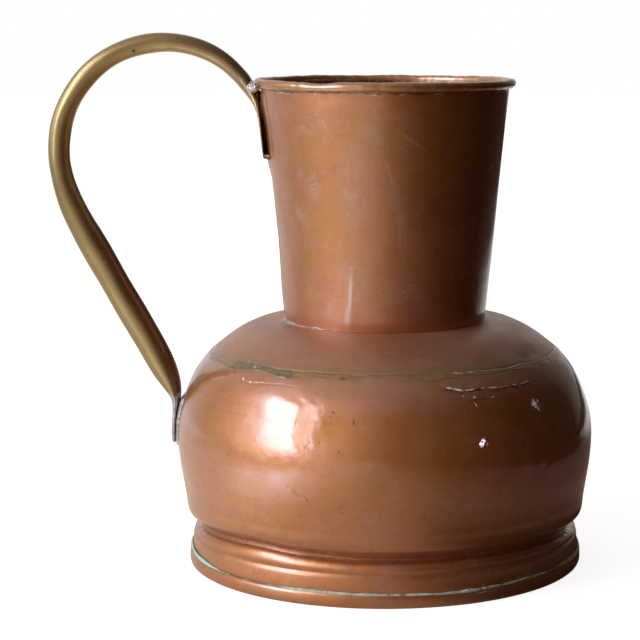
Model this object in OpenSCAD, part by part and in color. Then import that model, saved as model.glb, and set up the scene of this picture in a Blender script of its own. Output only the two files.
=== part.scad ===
// Water jug of sheet copper with a brass tube handle.
// Origin: centre of the base, on the surface it stands on. +Z up, handle towards -X.
// Every joint is lapped and soldered or brazed; nothing turns or slides.

/* [Vessel] */
// Radius of the neck's outside where it meets the shoulder
neck_r_low = 48.0; // [47.5:0.25:48.5]
// Radius of the neck's outside just under the rim roll
neck_r_high = 59.0; // [58:0.5:60]
// Height of the rim roll's centre above the base
rim_z = 230; // [222:1:238]
// Thickness of the copper sheet
sheet_t = 1.0; // [0.8:0.1:1.1]
// Thickness of the base plate
base_t = 0.8; // [0.6:0.1:0.9]

/* [Rim] */
// Outside radius of the roll at the rim
roll_r = 2.1; // [2:0.1:2.3]
// Clearance between the rim wire and the roll
wire_gap = 0.05; // [0.03:0.01:0.1]

/* [Handle] */
// Wall of the brass tube
tube_wall = 1.0; // [0.8:0.1:1.2]
// Sides of the tube's cross-section
tube_sides = 18; // [12:2:24]
// Half-width of the reinforcing patch under the upper end
patch_half_w = 20; // [17:0.5:21]
// Thickness of the patch
patch_t = 0.5; // [0.4:0.05:0.5]
// Thickness of the solder under the lower end
pad_t = 1.2; // [1:0.1:1.2]

/* [Hidden] */
$fn = 96;

copper = [0.62, 0.36, 0.24];
copper_dark = [0.50, 0.28, 0.19];
brass = [0.66, 0.55, 0.34];
tin = [0.66, 0.67, 0.64];
verdigris = [0.45, 0.62, 0.54];
iron = [0.42, 0.41, 0.40];

joint_z = 117.2;   // where the shoulder meets the neck
neck_z0 = 113.5;   // lower end of the neck, inside the shoulder
lap_t = 0.9;       // the shoulder's sheet, thinned where it laps
// Outside radius of the neck's cone at height z
function rn(z) = neck_r_low + (z - joint_z) * (neck_r_high - neck_r_low) / (rim_z - 2.8 - joint_z);
lift = rim_z - 230;            // how far the neck's upper end moves from its usual height
spread = neck_r_high - 59;     // how far the neck's wall moves out under the rim

// ---- curve helpers ----
function cr(a, b, c, d, t) = 0.5 * ((2 * b) + (c - a) * t + (2 * a - 5 * b + 4 * c - d) * t * t
                                  + (3 * b - a - 3 * c + d) * t * t * t);
function spline(P, n) = [for (i = [0:len(P) - 2]) for (k = [0:n - 1])
    cr(P[max(i - 1, 0)], P[i], P[i + 1], P[min(i + 2, len(P) - 1)], k / n), P[len(P) - 1]];
function unit(v) = v / norm(v);
function tangent(P, i) = unit(P[min(i + 1, len(P) - 1)] - P[max(i - 1, 0)]);
// Moves a profile that runs from top to bottom inwards by d
function inset(P, d) = [for (i = [0:len(P) - 1]) let (t = tangent(P, i)) P[i] + d * [t[1], -t[0]]];
function flip(P) = [for (i = [len(P) - 1:-1:0]) P[i]];
function arc(c, r, a0, a1, n) = [for (i = [0:n]) let (a = a0 + (a1 - a0) * i / n) c + r * [cos(a), sin(a)]];
module turned(P) { rotate_extrude() polygon(P); }
module sheet(P, t) { turned(concat(P, flip(inset(P, t)))); }

// ---- outside profiles, [radius, height], top to bottom ----
shoulder_top = concat([[rn(joint_z), joint_z]],
    spline([[53, 117.1], [57, 116.8], [61, 116.1], [65, 114.8], [69, 112.9],
            [73, 110.5], [76.5, 108], [79.4, 105.75], [81.25, 104.3]], 3));
bowl_curve = spline([[82.9, 103], [85.9, 100], [89.2, 96], [91.8, 92], [93.75, 88], [95.45, 84],
            [97.6, 78], [99.2, 72], [100, 66], [100.15, 60], [99.8, 54], [99.15, 48],
            [98.3, 43], [97.4, 38], [96.6, 33.8], [96.2, 30.8], [95.6, 28.2], [94.35, 26], [92.35, 24.3],
            [90.1, 22.6], [88.6, 21.4]], 3);
bowl_path = concat(bowl_curve, [[87.9, 20.7], [87.9, 20], [87.9, 18], [87.9, 16]]);
foot_path = concat([[87.95 + sheet_t, 20.65], [87.95 + sheet_t, 20.4]],
    spline([[89.35, 20.1], [90.5, 19.8], [91.6, 19.3], [92.35, 18.55], [92.8, 17.7], [92.95, 16.9],
            [92.9, 16.2], [92.7, 15.6], [92.4, 15.15], [92.5, 14.75], [92.95, 14.4], [93.3, 13.85],
            [93.45, 12.5], [93.6, 9], [93.6, 6.5]], 3),
    [[93.7, 5.2], [94, 4.4], [94.15, 3.4], [94.2, 2.2], [94.2, base_t]]);

// Part of the bowl's inside that the shoulder laps behind
lap_n = 6;
lap = [for (i = [0:lap_n]) inset(bowl_path, sheet_t)[i]];

// ---- vessel ----
module neck() {
    c = [neck_r_high + 1.15, rim_z];
    color(copper) turned(concat(
        [[rn(neck_z0), neck_z0], [rn(neck_z0) - sheet_t, neck_z0], [rn(rim_z - 2) - sheet_t, rim_z - 2]],
        arc(c, roll_r, 180, -112, 36),
        arc(c, roll_r - sheet_t, -112, 195, 36),
        [[rn(rim_z - 1.5), rim_z - 1.5]]));
}

module rim_wire() {
    color(iron) rotate_extrude() translate([neck_r_high + 1.15, rim_z])
        circle(r = roll_r - sheet_t - wire_gap);
}

module shoulder() {
    P = concat(shoulder_top, lap);
    I = inset(P, lap_t);
    n = len(P) - 1;
    color(copper) turned(concat(P, [for (i = [n:-1:1]) I[i]],
        [[rn(joint_z - lap_t), joint_z - lap_t]]));
}

module bowl() { color(copper) sheet(bowl_path, sheet_t); }

module foot_ring() { color(copper) sheet(foot_path, sheet_t); }

module base_plate() {
    color(copper_dark) turned([[0, 0], [93.4, 0], [94.2, 0.1], [94.8, 0.5], [95, 1.1], [95.05, 3],
        [94.85, 4.3], [94.6, 4.9], [94.35, 5], [94, 4.4], [94.15, 3.4], [94.2, 2.2],
        [94.2, base_t], [0, base_t]]);
}

// ---- fillers in the seams ----
module shoulder_braze() {
    a = shoulder_top[len(shoulder_top) - 1];
    b = bowl_path[0];
    out = 0.3 * [0.61, 0.79];
    color(brass) turned([a, a + 0.3 * (b - a) + out, a + 0.75 * (b - a) + out, b, lap[0]]);
}

module neck_solder() {
    r = rn(joint_z);
    color(tin) turned([[r + 0.005, joint_z + 0.01], [r + 2.2, joint_z + 0.01], [r + 1.2, joint_z + 0.35],
        [r + 0.6, joint_z + 0.9], [rn(joint_z + 1.9) + 0.005, joint_z + 1.9]]);
}

module foot_solder() {
    color(tin) turned([[88.15, 20.67], [88.95, 20.67], [89.12, 21], [89.18, 21.8], [88.62, 21.37], [88.15, 20.9]]);
}

module base_solder() {
    color(verdigris) turned([[94, 4.4], [94.35, 5], [94.15, 5.55], [93.72, 6.3], [93.64, 6.0], [93.7, 5.2]]);
}

// A band lying on the neck between radii rn + r0 and rn + r1, from z0 to z1, half-width w, on the handle's side
module neck_band(r0, r1, z0, z1, w, corner) {
    intersection() {
        turned([[rn(z0 - 2) + r0, z0 - 2], [rn(z0 - 2) + r1, z0 - 2], [rn(z1 + 2) + r1, z1 + 2], [rn(z1 + 2) + r0, z1 + 2]]);
        translate([-90, 0, 0]) rotate([90, 0, 90]) linear_extrude(60) rounded(z0, z1, w, corner);
    }
}
module rounded(z0, z1, w, c) {
    polygon(concat(arc([w - c, z1 - c], c, 0, 90, 8), arc([c - w, z1 - c], c, 90, 180, 8),
        arc([c - w, z0 + c], c, 180, 270, 8), arc([w - c, z0 + c], c, 270, 360, 8)));
}

module neck_seam() { color(brass) neck_band(0.005, 0.3, 119.4, 194.7 + lift, 1.6, 0.5); }
module neck_patch() { color(copper) neck_band(0.005, patch_t, 195 + lift, 226.2 + lift, patch_half_w, 1.5); }
// Braze that closes the gap between the flat tab and the round neck, along the tab's lower end
module upper_tab_braze() {
    color(brass) translate([0, 0, lift]) difference() {
        translate([-spread, 0, 0]) rotate([90, 0, 0]) linear_extrude(31, center = true)
            polygon([[-57.5, 194.9], [-57.5, 195.85], [-56.38, 195.85], [-56.62, 198.4], [-50, 198.4], [-50, 194.9]]);
        turned([[0, 190], [rn(190 + lift) + patch_t + 0.01, 190], [rn(200 + lift) + patch_t + 0.01, 200], [0, 200]]);
    }
}

module lower_solder() {
    P = [for (p = bowl_curve) if (p[1] < 86 && p[1] > 50) p];
    color(tin) intersection() {
        turned(concat(inset(P, -0.01), flip(inset(P, -pad_t))));
        translate([-130, 0, 0]) rotate([90, 0, 90]) linear_extrude(60) rounded(56.8, 79, 9.2, 2.5);
    }
}

// ---- handle ----
// Stations along the tube: [x, z, half-thickness, half-width along Y, wrap round the vessel]
stations = [
    [-57.05, 196, 0.6, 15, 0], [-57.4, 199, 0.65, 16, 0], [-58.05, 205, 0.65, 16, 0],
    [-58.9, 212, 0.8, 14.8, 0], [-59.9, 217, 1.2, 12, 0], [-61.3, 221.5, 2.0, 9, 0],
    [-63.75, 226, 2.8, 6.8, 0], [-66.4, 230.3, 3.5, 5.4, 0], [-69.4, 233.9, 3.75, 4.4, 0],
    [-75.5, 239.6, 3.95, 4.1, 0], [-82.7, 244.2, 4.1, 4.2, 0], [-90.8, 247.3, 4.25, 4.3, 0],
    [-99.3, 248.9, 4.4, 4.4, 0], [-107.9, 249, 4.55, 4.55, 0], [-116.5, 247.7, 4.6, 4.6, 0],
    [-124.8, 245, 4.65, 4.65, 0], [-132.4, 240.9, 4.8, 4.8, 0], [-138.9, 235.7, 4.9, 4.9, 0],
    [-144.5, 229.5, 5, 5, 0], [-149.7, 221.5, 5.05, 5.05, 0], [-153.4, 212.5, 5.1, 5.1, 0],
    [-155.3, 203, 5.1, 5.1, 0], [-155.5, 194, 5.2, 5.2, 0], [-154.2, 186, 5.3, 5.3, 0],
    [-152.1, 178.3, 5.6, 5.5, 0], [-149.2, 170.5, 6.1, 5.9, 0], [-145.4, 162.7, 6.5, 6.3, 0],
    [-141.2, 155, 6.8, 6.5, 0], [-134.9, 143.5, 6.88, 6.6, 0], [-126.3, 128.1, 6.87, 6.6, 0],
    [-117.7, 112.7, 6.85, 6.6, 0], [-113.3, 105, 6.75, 6.6, 0], [-109.3, 97.4, 6.45, 6.7, 0],
    [-106.3, 91.2, 5.85, 6.9, 0], [-104, 86.2, 4.9, 7.1, 0.2], [-102.4, 82, 3.7, 7.4, 0.5],
    [-101.5, 78.2, 2.4, 7.9, 0.8], [-101.6, 74.2, 1.5, 8.3, 1], [-101.95, 70, 1.15, 8.5, 1],
    [-102.45, 64, 1.1, 8.5, 1], [-102.45, 60, 1.1, 8.3, 1], [-102.2, 57.6, 0.9, 7.6, 1]];
// Stations above the leg follow the rim when its height or radius changes
function follow(z) = max(0, min(1, (z - 120) / 70));
moved = [for (s = stations) [s[0] - spread * follow(s[1]), s[1] + lift * follow(s[1]), s[2], s[3], s[4]]];
rings = spline(moved, 2);
last = len(rings) - 1;
// Points of one ring: an ellipse in the round part, flatter in the tabs, and wrapped round the vessel in the lower one
function ring(i, wall) =
    let (s = rings[i], p = [s[0], s[1]],
         t = unit([rings[min(i + 1, last)][0] - rings[max(i - 1, 0)][0],
                   rings[min(i + 1, last)][1] - rings[max(i - 1, 0)][1]]),
         n = [-t[1], t[0]],
         flat = max(0, min(1, (2.6 - s[2]) / 1.6)),
         a = max(s[2] - wall, min(s[2], 0.12)), b = s[3] - wall,
         w = max(0, min(1, s[4])), e = 1 - 0.35 * flat,
         rv = -s[0] - s[2])
    [for (k = [0:tube_sides - 1]) let (f = 360 * k / tube_sides, c = cos(f), q = sin(f),
         u = a * sign(c) * pow(abs(c), e), y = b * sign(q) * pow(abs(q), e),
         d = w * (rv - sqrt(max(rv * rv - y * y, 1))))
     [p[0] + u * n[0] + d, y, p[1] + u * n[1]]];
function skin(m, n, o, rev) = [for (i = [0:m - 1]) for (k = [0:n - 1])
    let (a = o + i * n + k, b = o + i * n + (k + 1) % n, c = b + n, d = a + n)
    each rev ? [[a, b, c], [a, c, d]] : [[a, c, b], [a, d, c]]];

module handle() {
    N = tube_sides; M = last; I = (M + 1) * N;
    pts = concat([for (i = [0:M]) each ring(i, 0)], [for (i = [0:M]) each ring(i, tube_wall)]);
    ends = [for (k = [0:N - 1]) let (j = (k + 1) % N)
        each [[k, j, I + j], [k, I + j, I + k],
              [M * N + k, I + M * N + j, M * N + j], [M * N + k, I + M * N + k, I + M * N + j]]];
    color(brass) polyhedron(pts, concat(skin(M, N, 0, false), skin(M, N, I, true), ends));
}
// Fillet under the rim roll, between the neck and the handle
module rim_solder() {
    c = [neck_r_high + 1.15, rim_z];
    color(tin) intersection() {
        turned(concat([[rn(rim_z - 3.7) + 0.01, rim_z - 3.7], [rn(rim_z - 2.1) + 0.01, rim_z - 2.1]],
            arc(c, roll_r + 0.01, -110, -50, 12), [[c[0] + 0.75, rim_z - 2.8], [c[0] + 0.3, rim_z - 3.7]]));
        translate([-90, 0, 0]) rotate([90, 0, 90]) linear_extrude(60) rounded(rim_z - 5, rim_z + 2, 8.5, 2);
    }
}

neck();
rim_wire();
neck_seam();
neck_patch();
neck_solder();
shoulder();
shoulder_braze();
bowl();
foot_ring();
foot_solder();
base_plate();
base_solder();
handle();
upper_tab_braze();
rim_solder();
lower_solder();
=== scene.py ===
import math

import bmesh
import bpy
import numpy as np
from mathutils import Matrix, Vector


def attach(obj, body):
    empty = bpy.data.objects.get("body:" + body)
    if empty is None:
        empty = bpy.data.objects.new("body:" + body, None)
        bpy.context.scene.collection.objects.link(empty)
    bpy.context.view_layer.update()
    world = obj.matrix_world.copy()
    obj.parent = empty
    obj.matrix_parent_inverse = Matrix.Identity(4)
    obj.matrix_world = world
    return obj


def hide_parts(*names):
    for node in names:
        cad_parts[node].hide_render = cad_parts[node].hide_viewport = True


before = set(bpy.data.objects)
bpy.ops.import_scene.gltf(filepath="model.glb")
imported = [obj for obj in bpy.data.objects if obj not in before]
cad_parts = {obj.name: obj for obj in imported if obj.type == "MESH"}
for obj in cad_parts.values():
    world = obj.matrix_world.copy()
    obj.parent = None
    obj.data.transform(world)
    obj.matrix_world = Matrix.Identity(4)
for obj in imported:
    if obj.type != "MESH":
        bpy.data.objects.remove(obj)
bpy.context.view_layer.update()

MM = 0.001
PI = math.pi

# ---------------------------------------------------------------------------
# Smooth random functions on the vessel. Angles are in radians, 0 towards the
# front (-Y) and growing towards +X; heights and sizes are in millimetres.
# ---------------------------------------------------------------------------


def noise2(seed, lmin, lmax, n=40, radius=95.0, power=1.0):
    """A random function of angle and height with unit rms and wavelengths lmin..lmax mm."""
    g = np.random.default_rng(seed)
    lam = lmin * (lmax / lmin) ** g.random(n)
    a = g.random(n) * PI
    kt = np.round(2 * PI * radius / lam * np.cos(a))
    kz = 2 * PI / lam * np.sin(a)
    ph = g.random(n) * 2 * PI
    amp = lam**power
    amp = amp / np.sqrt(0.5 * np.sum(amp**2))

    def f(th, z):
        out = 0.0
        for i in range(n):
            out = out + amp[i] * np.cos(kt[i] * th + kz[i] * z + ph[i])
        return out

    return f


def noise1(seed, kmin, kmax, n=24, power=0.7):
    """A random periodic function of angle with unit rms."""
    g = np.random.default_rng(seed)
    k = np.unique(np.round(np.geomspace(kmin, kmax, n)))
    amp = k**-power
    amp = amp / np.sqrt(0.5 * np.sum(amp**2))
    ph = g.random(len(k)) * 2 * PI

    def f(th):
        th = np.asarray(th, float)
        out = np.zeros_like(th)
        for i in range(len(k)):
            out = out + amp[i] * np.cos(k[i] * th + ph[i])
        return out

    return f


def smooth(x, a, b):
    t = np.clip((x - a) / (b - a), 0.0, 1.0)
    return t * t * (3 - 2 * t)


def window(x, a, b, s):
    return smooth(x, a - s, a + s) * (1 - smooth(x, b - s, b + s))


def through(points, x):
    """Smooth curve through (x, y) points, periodic over a full turn, x in degrees."""
    p = sorted(points)
    xs = np.array([q[0] for q in p], float)
    ys = np.array([q[1] for q in p], float)
    xs = np.concatenate([xs - 360, xs, xs + 360])
    ys = np.concatenate([ys, ys, ys])
    x = (np.asarray(x, float) + 180) % 360 - 180
    i = np.clip(np.searchsorted(xs, x) - 1, 1, len(xs) - 3)
    h = xs[i + 1] - xs[i]
    t = (x - xs[i]) / h
    m0 = (ys[i + 1] - ys[i - 1]) / (xs[i + 1] - xs[i - 1]) * h
    m1 = (ys[i + 2] - ys[i]) / (xs[i + 2] - xs[i]) * h
    return (
        (2 * t**3 - 3 * t**2 + 1) * ys[i]
        + (t**3 - 2 * t**2 + t) * m0
        + (-2 * t**3 + 3 * t**2) * ys[i + 1]
        + (t**3 - t**2) * m1
    )


def catmull(P, n):
    """The curve through P with n steps a span, as the CAD draws it."""
    P = [np.asarray(p, float) for p in P]
    out = []
    for i in range(len(P) - 1):
        a, b, c, d = P[max(i - 1, 0)], P[i], P[i + 1], P[min(i + 2, len(P) - 1)]
        for k in range(n):
            t = k / n
            out.append(
                0.5
                * (
                    2 * b
                    + (c - a) * t
                    + (2 * a - 5 * b + 4 * c - d) * t * t
                    + (3 * b - a - 3 * c + d) * t**3
                )
            )
    out.append(P[-1])
    return np.array(out)


def resample(P, step):
    """Points along P about step apart; step may be a function of the point."""
    P = np.asarray(P, float)
    seg = np.sqrt(((P[1:] - P[:-1]) ** 2).sum(1))
    s = np.concatenate([[0], np.cumsum(seg)])
    out, pos = [0.0], 0.0
    while pos < s[-1]:
        q = np.array([np.interp(pos, s, P[:, 0]), np.interp(pos, s, P[:, 1])])
        pos += step(q) if callable(step) else step
        if pos < s[-1] - 0.2 * (step(q) if callable(step) else step):
            out.append(pos)
    out.append(s[-1])
    return np.stack([np.interp(out, s, P[:, 0]), np.interp(out, s, P[:, 1])], 1)


def normals(P):
    """Outward normals of a profile that runs from top to bottom."""
    t = np.gradient(P, axis=0)
    t = t / np.maximum(np.sqrt((t**2).sum(1, keepdims=True)), 1e-9)
    return np.stack([-t[:, 1], t[:, 0]], 1)


def bumps(spots, th, z, radius=95.0):
    """Sum of small dents: (angle in degrees, height, half-width, half-height, tilt in degrees, depth)."""
    out = 0.0
    for a, h, sx, sz, tilt, d in spots:
        x = (np.degrees(th) - a + 180) % 360 - 180
        x = np.radians(x) * radius
        y = z - h
        c, s = math.cos(math.radians(tilt)), math.sin(math.radians(tilt))
        u, v = c * x + s * y, -s * x + c * y
        out = out + d * np.exp(-0.5 * ((u / sx) ** 2 + (v / sz) ** 2))
    return out


# ---------------------------------------------------------------------------
# Mesh builders
# ---------------------------------------------------------------------------


def mesh_object(name, verts, faces, material, sharp=35.0):
    me = bpy.data.meshes.new(name)
    me.from_pydata([tuple(v) for v in np.asarray(verts) * MM], [], faces)
    me.update()
    bm = bmesh.new()
    bm.from_mesh(me)
    bmesh.ops.remove_doubles(bm, verts=bm.verts, dist=1e-7)
    bmesh.ops.dissolve_degenerate(bm, edges=bm.edges, dist=1e-8)
    bmesh.ops.recalc_face_normals(bm, faces=bm.faces)
    bm.to_mesh(me)
    bm.free()
    me.polygons.foreach_set("use_smooth", np.ones(len(me.polygons), bool))
    me.set_sharp_from_angle(angle=math.radians(sharp))
    me.materials.append(material)
    ob = bpy.data.objects.new(name, me)
    bpy.context.scene.collection.objects.link(ob)
    return ob


def grid_faces(K, M, closed_k, closed_m):
    faces = []
    for k in range(K if closed_k else K - 1):
        a, b = k * M, ((k + 1) % K) * M
        for i in range(M if closed_m else M - 1):
            j = (i + 1) % M
            faces.append((a + i, a + j, b + j, b + i))
    return faces


def turned(name, R, Z, th, material, closed=True, sharp=35.0):
    """A ring-shaped solid from profile loops: R and Z are (profile points, angles)."""
    K, M = R.shape
    X = R * np.sin(th)[None, :]
    Y = -R * np.cos(th)[None, :]
    V = np.stack([X, Y, Z], -1).reshape(-1, 3)
    return mesh_object(name, V, grid_faces(K, M, closed, True), material, sharp)


def shell(name, P, t, M, material, disp=None, sharp=35.0, thickness=None, inner_step=1):
    """A sheet of thickness t inside the outer profile P, pushed along its normal by disp(th, z) -> (dn, dz)."""
    th = np.arange(M) * 2 * PI / M - PI
    N = normals(P)
    T = (thickness(P) if thickness is not None else np.full(len(P), t))[:, None]
    Pi = P - N * T

    def placed(Q, idx):
        r = np.repeat(Q[idx, 0][:, None], M, 1)
        z = np.repeat(Q[idx, 1][:, None], M, 1)
        if disp is not None:
            zz = np.repeat(P[idx, 1][:, None], M, 1)
            dn, dz = disp(th[None, :], zz)
            r = r + N[idx, 0][:, None] * dn
            z = z + N[idx, 1][:, None] * dn + dz
        return r, z

    every = np.arange(len(P))
    some = np.unique(np.concatenate([every[::inner_step], [len(P) - 1]]))
    ro, zo = placed(P, every)
    ri, zi = placed(Pi, some[::-1])
    # rounded edges: pull the two end points in a little and add a middle one
    tan0, tan1 = P[0] - P[1], P[-1] - P[-2]
    tan0, tan1 = tan0 / np.hypot(*tan0), tan1 / np.hypot(*tan1)
    top_r = 0.5 * (ro[:1] + ri[-1:]) + 0.22 * T[0, 0] * tan0[0]
    top_z = 0.5 * (zo[:1] + zi[-1:]) + 0.22 * T[0, 0] * tan0[1]
    low_r = 0.5 * (ro[-1:] + ri[:1]) + 0.22 * T[-1, 0] * tan1[0]
    low_z = 0.5 * (zo[-1:] + zi[:1]) + 0.22 * T[-1, 0] * tan1[1]
    R = np.concatenate([ro, low_r, ri, top_r])
    Z = np.concatenate([zo, low_z, zi, top_z])
    return turned(name, R, Z, th, material, True, sharp)


# ---------------------------------------------------------------------------
# Materials. Every coordinate is the object's own, in metres.
# ---------------------------------------------------------------------------


class Nodes:
    """Small helper that writes shader nodes as expressions."""

    def __init__(self, name):
        self.m = bpy.data.materials.new(name)
        self.m.use_nodes = True
        self.t = self.m.node_tree
        self.t.nodes.clear()
        self.out = self.t.nodes.new("ShaderNodeOutputMaterial")
        self.b = self.t.nodes.new("ShaderNodeBsdfPrincipled")
        self.t.links.new(self.b.outputs[0], self.out.inputs[0])
        self.co = self.t.nodes.new("ShaderNodeTexCoord").outputs["Object"]
        self.glint = None
        self.dim = None

    def link(self, socket, value):
        if isinstance(value, bpy.types.NodeSocket):
            self.t.links.new(value, socket)
        elif isinstance(value, (tuple, list)) and len(value) == 3 and len(socket.default_value) == 4:
            socket.default_value = (*value, 1.0)
        else:
            socket.default_value = value

    def math(self, op, a, b=0.0, c=None, clamp=False):
        n = self.t.nodes.new("ShaderNodeMath")
        n.operation = op
        n.use_clamp = clamp
        self.link(n.inputs[0], a)
        self.link(n.inputs[1], b)
        if c is not None:
            self.link(n.inputs[2], c)
        return n.outputs[0]

    def add(self, a, b):
        return self.math("ADD", a, b)

    def sub(self, a, b):
        return self.math("SUBTRACT", a, b)

    def mul(self, a, b):
        return self.math("MULTIPLY", a, b)

    def maxi(self, a, b):
        return self.math("MAXIMUM", a, b)

    def noise(self, scale, detail=3.0, rough=0.5, distortion=0.0, at=None, out="Fac", offset=None):
        n = self.t.nodes.new("ShaderNodeTexNoise")
        n.inputs["Scale"].default_value = scale
        n.inputs["Detail"].default_value = detail
        n.inputs["Roughness"].default_value = rough
        n.inputs["Distortion"].default_value = distortion
        at = self.co if at is None else at
        if offset is not None:
            v = self.t.nodes.new("ShaderNodeVectorMath")
            v.operation = "ADD"
            self.link(v.inputs[0], at)
            v.inputs[1].default_value = offset
            at = v.outputs[0]
        self.t.links.new(at, n.inputs["Vector"])
        return n.outputs[out]

    def ramp(self, fac, stops, interp="LINEAR"):
        n = self.t.nodes.new("ShaderNodeValToRGB")
        n.color_ramp.interpolation = interp
        e = n.color_ramp.elements
        while len(e) < len(stops):
            e.new(0.5)
        for el, (p, c) in zip(e, stops):
            el.position = p
            c = (c, c, c) if isinstance(c, (int, float)) else c
            el.color = (*c, 1.0)
        self.link(n.inputs[0], fac)
        return n.outputs[0]

    def step(self, x, a, b, lo=0.0, hi=1.0, soft=True):
        n = self.t.nodes.new("ShaderNodeMapRange")
        n.interpolation_type = "SMOOTHSTEP" if soft else "LINEAR"
        n.clamp = True
        self.link(n.inputs[0], x)
        n.inputs[1].default_value = a
        n.inputs[2].default_value = b
        n.inputs[3].default_value = lo
        n.inputs[4].default_value = hi
        return n.outputs[0]

    def mix(self, fac, a, b, mode="MIX"):
        n = self.t.nodes.new("ShaderNodeMix")
        n.data_type = "RGBA"
        n.blend_type = mode
        n.clamp_factor = True
        self.link(n.inputs[0], fac)
        self.link(n.inputs[6], a)
        self.link(n.inputs[7], b)
        return n.outputs[2]

    def xyz(self):
        n = self.t.nodes.new("ShaderNodeSeparateXYZ")
        self.t.links.new(self.co, n.inputs[0])
        return n.outputs

    def join(self, x, y, z=0.0):
        n = self.t.nodes.new("ShaderNodeCombineXYZ")
        self.link(n.inputs[0], x)
        self.link(n.inputs[1], y)
        self.link(n.inputs[2], z)
        return n.outputs[0]

    def around(self):
        """(arc length round the axis, height), in millimetres, as if unrolled at radius 95."""
        x, y, z = self.xyz()
        a = self.math("ARCTAN2", x, self.mul(y, -1.0))
        return self.mul(a, 95.0), self.mul(z, 1000.0)

    def spot(self, u, v, th, z, sx, sz, tilt=0.0, edge=1.0):
        """A soft mark at an angle (degrees) and height (mm): 1 in its middle, 0 outside."""
        dx = self.sub(u, math.radians(th) * 95.0)
        dz = self.sub(v, z)
        c, s = math.cos(math.radians(tilt)), math.sin(math.radians(tilt))
        p = self.add(self.mul(dx, c / sx), self.mul(dz, s / sx))
        q = self.add(self.mul(dx, -s / sz), self.mul(dz, c / sz))
        d = self.math("SQRT", self.add(self.mul(p, p), self.mul(q, q)))
        return self.step(d, 1.0, 1.0 - edge if edge < 1 else 0.0, 0.0, 1.0)

    def bump(self, height, strength, distance, normal=None):
        n = self.t.nodes.new("ShaderNodeBump")
        n.inputs["Strength"].default_value = strength
        n.inputs["Distance"].default_value = distance
        self.link(n.inputs["Height"], height)
        if normal is not None:
            self.link(n.inputs["Normal"], normal)
        return n.outputs[0]

    def set(self, **kw):
        names = {
            "color": "Base Color",
            "metallic": "Metallic",
            "rough": "Roughness",
            "coat": "Coat Weight",
            "coat_rough": "Coat Roughness",
            "coat_ior": "Coat IOR",
            "normal": "Normal",
            "coat_normal": "Coat Normal",
            "ior": "IOR",
            "specular": "Specular IOR Level",
        }
        for k, v in kw.items():
            self.link(self.b.inputs[names[k]], v)
        return self.m


COPPER = dict(
    mid=(0.53, 0.192, 0.066),
    warm=(0.57, 0.225, 0.060),
    pink=(0.50, 0.215, 0.108),
    dark=(0.30, 0.092, 0.034),
    amber=(0.49, 0.195, 0.022),
)


def copper(name, marks=None, pinkness=0.25, streaks="ring", rough=0.42, coat=0.85, seed=0.0, dullness=0.0, haze=0.08):
    """Aged copper: brown-orange metal with cloudy oxide, amber heat stains, polishing lines and a worn lacquer."""
    n = Nodes(name)
    u, v = n.around()
    big = n.noise(14.0, 2.0, 0.5, 0.6, offset=(seed, 1.7, 0.3))
    mid = n.noise(46.0, 4.0, 0.55, 0.8, offset=(3.1, seed, 0.9))
    fine = n.noise(230.0, 4.0, 0.6, 0.2, offset=(0.4, 2.2, seed))
    col = n.mix(n.step(big, 0.38, 0.66), COPPER["mid"], COPPER["warm"])
    col = n.mix(n.mul(n.step(mid, 0.45, 0.72), pinkness * 2), col, COPPER["pink"])
    # amber heat stains
    amber = n.noise(26.0, 3.0, 0.6, 1.2, offset=(7.7, 5.1, seed + 2))
    col = n.mix(n.mul(n.step(amber, 0.52, 0.70), 0.6), col, COPPER["amber"])
    # pale pinkish bloom and dark speckle a few millimetres across
    bloom = n.noise(150.0, 6.0, 0.70, 1.0, offset=(0.6, seed, 4.4))
    col = n.mix(n.mul(n.step(bloom, 0.50, 0.68), 0.45), col, (0.57, 0.28, 0.175))
    col = n.mix(n.mul(n.step(bloom, 0.47, 0.30), 0.30), col, COPPER["dark"])
    col = n.mix(n.mul(n.step(fine, 0.54, 0.74), 0.28), col, COPPER["dark"])
    # polishing lines
    if streaks == "ring":
        at = n.join(n.mul(u, 0.004), n.mul(v, 0.9), 0.0)
    else:
        at = n.join(n.mul(u, 0.55), n.mul(v, 0.006), 0.0)
    lines = n.noise(1.0, 5.0, 0.62, 0.0, at=at)
    col = n.mix(n.mul(n.step(lines, 0.50, 0.80), 0.30), col, COPPER["dark"])
    if dullness:
        col = n.mix(dullness, col, (0.23, 0.12, 0.075))
    r = n.add(n.mul(n.sub(mid, 0.5), 0.22), rough)
    r = n.add(r, n.mul(n.sub(lines, 0.5), 0.12))
    r = n.add(r, n.mul(n.sub(fine, 0.5), 0.10))
    cr = n.add(n.mul(n.step(n.noise(60.0, 4.0, 0.62, 0.6, offset=(1.1, 4.0, seed + 5)), 0.36, 0.74), 0.16), haze)
    if marks is not None:
        col, r, cr = marks(n, u, v, col, r, cr)
    # where the marks paint glints, the metal is switched off so the painted highlight shows
    metal = n.mul(0.88, n.sub(1.0, n.glint)) if n.glint is not None else 0.88
    # where the marks paint shade, the coat's reflection is dimmed
    if n.dim is not None:
        coat = n.mul(coat, n.sub(1.0, n.dim))
    h = n.add(n.mul(lines, 0.6), n.mul(fine, 0.5))
    bump = n.bump(h, 0.12, 0.0004)
    wob = n.bump(n.noise(95.0, 3.0, 0.6, 0.3, offset=(2.0, 8.0, seed)), 0.34, 0.0007)
    wob2 = n.bump(h, 0.05, 0.0004, wob)
    n.set(
        color=col, metallic=metal, rough=n.math("MINIMUM", r, 0.9), coat=coat, coat_rough=n.math("MINIMUM", cr, 0.6),
        coat_ior=2.05, normal=bump, coat_normal=wob2, ior=1.5,
    )
    return n.m


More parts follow.
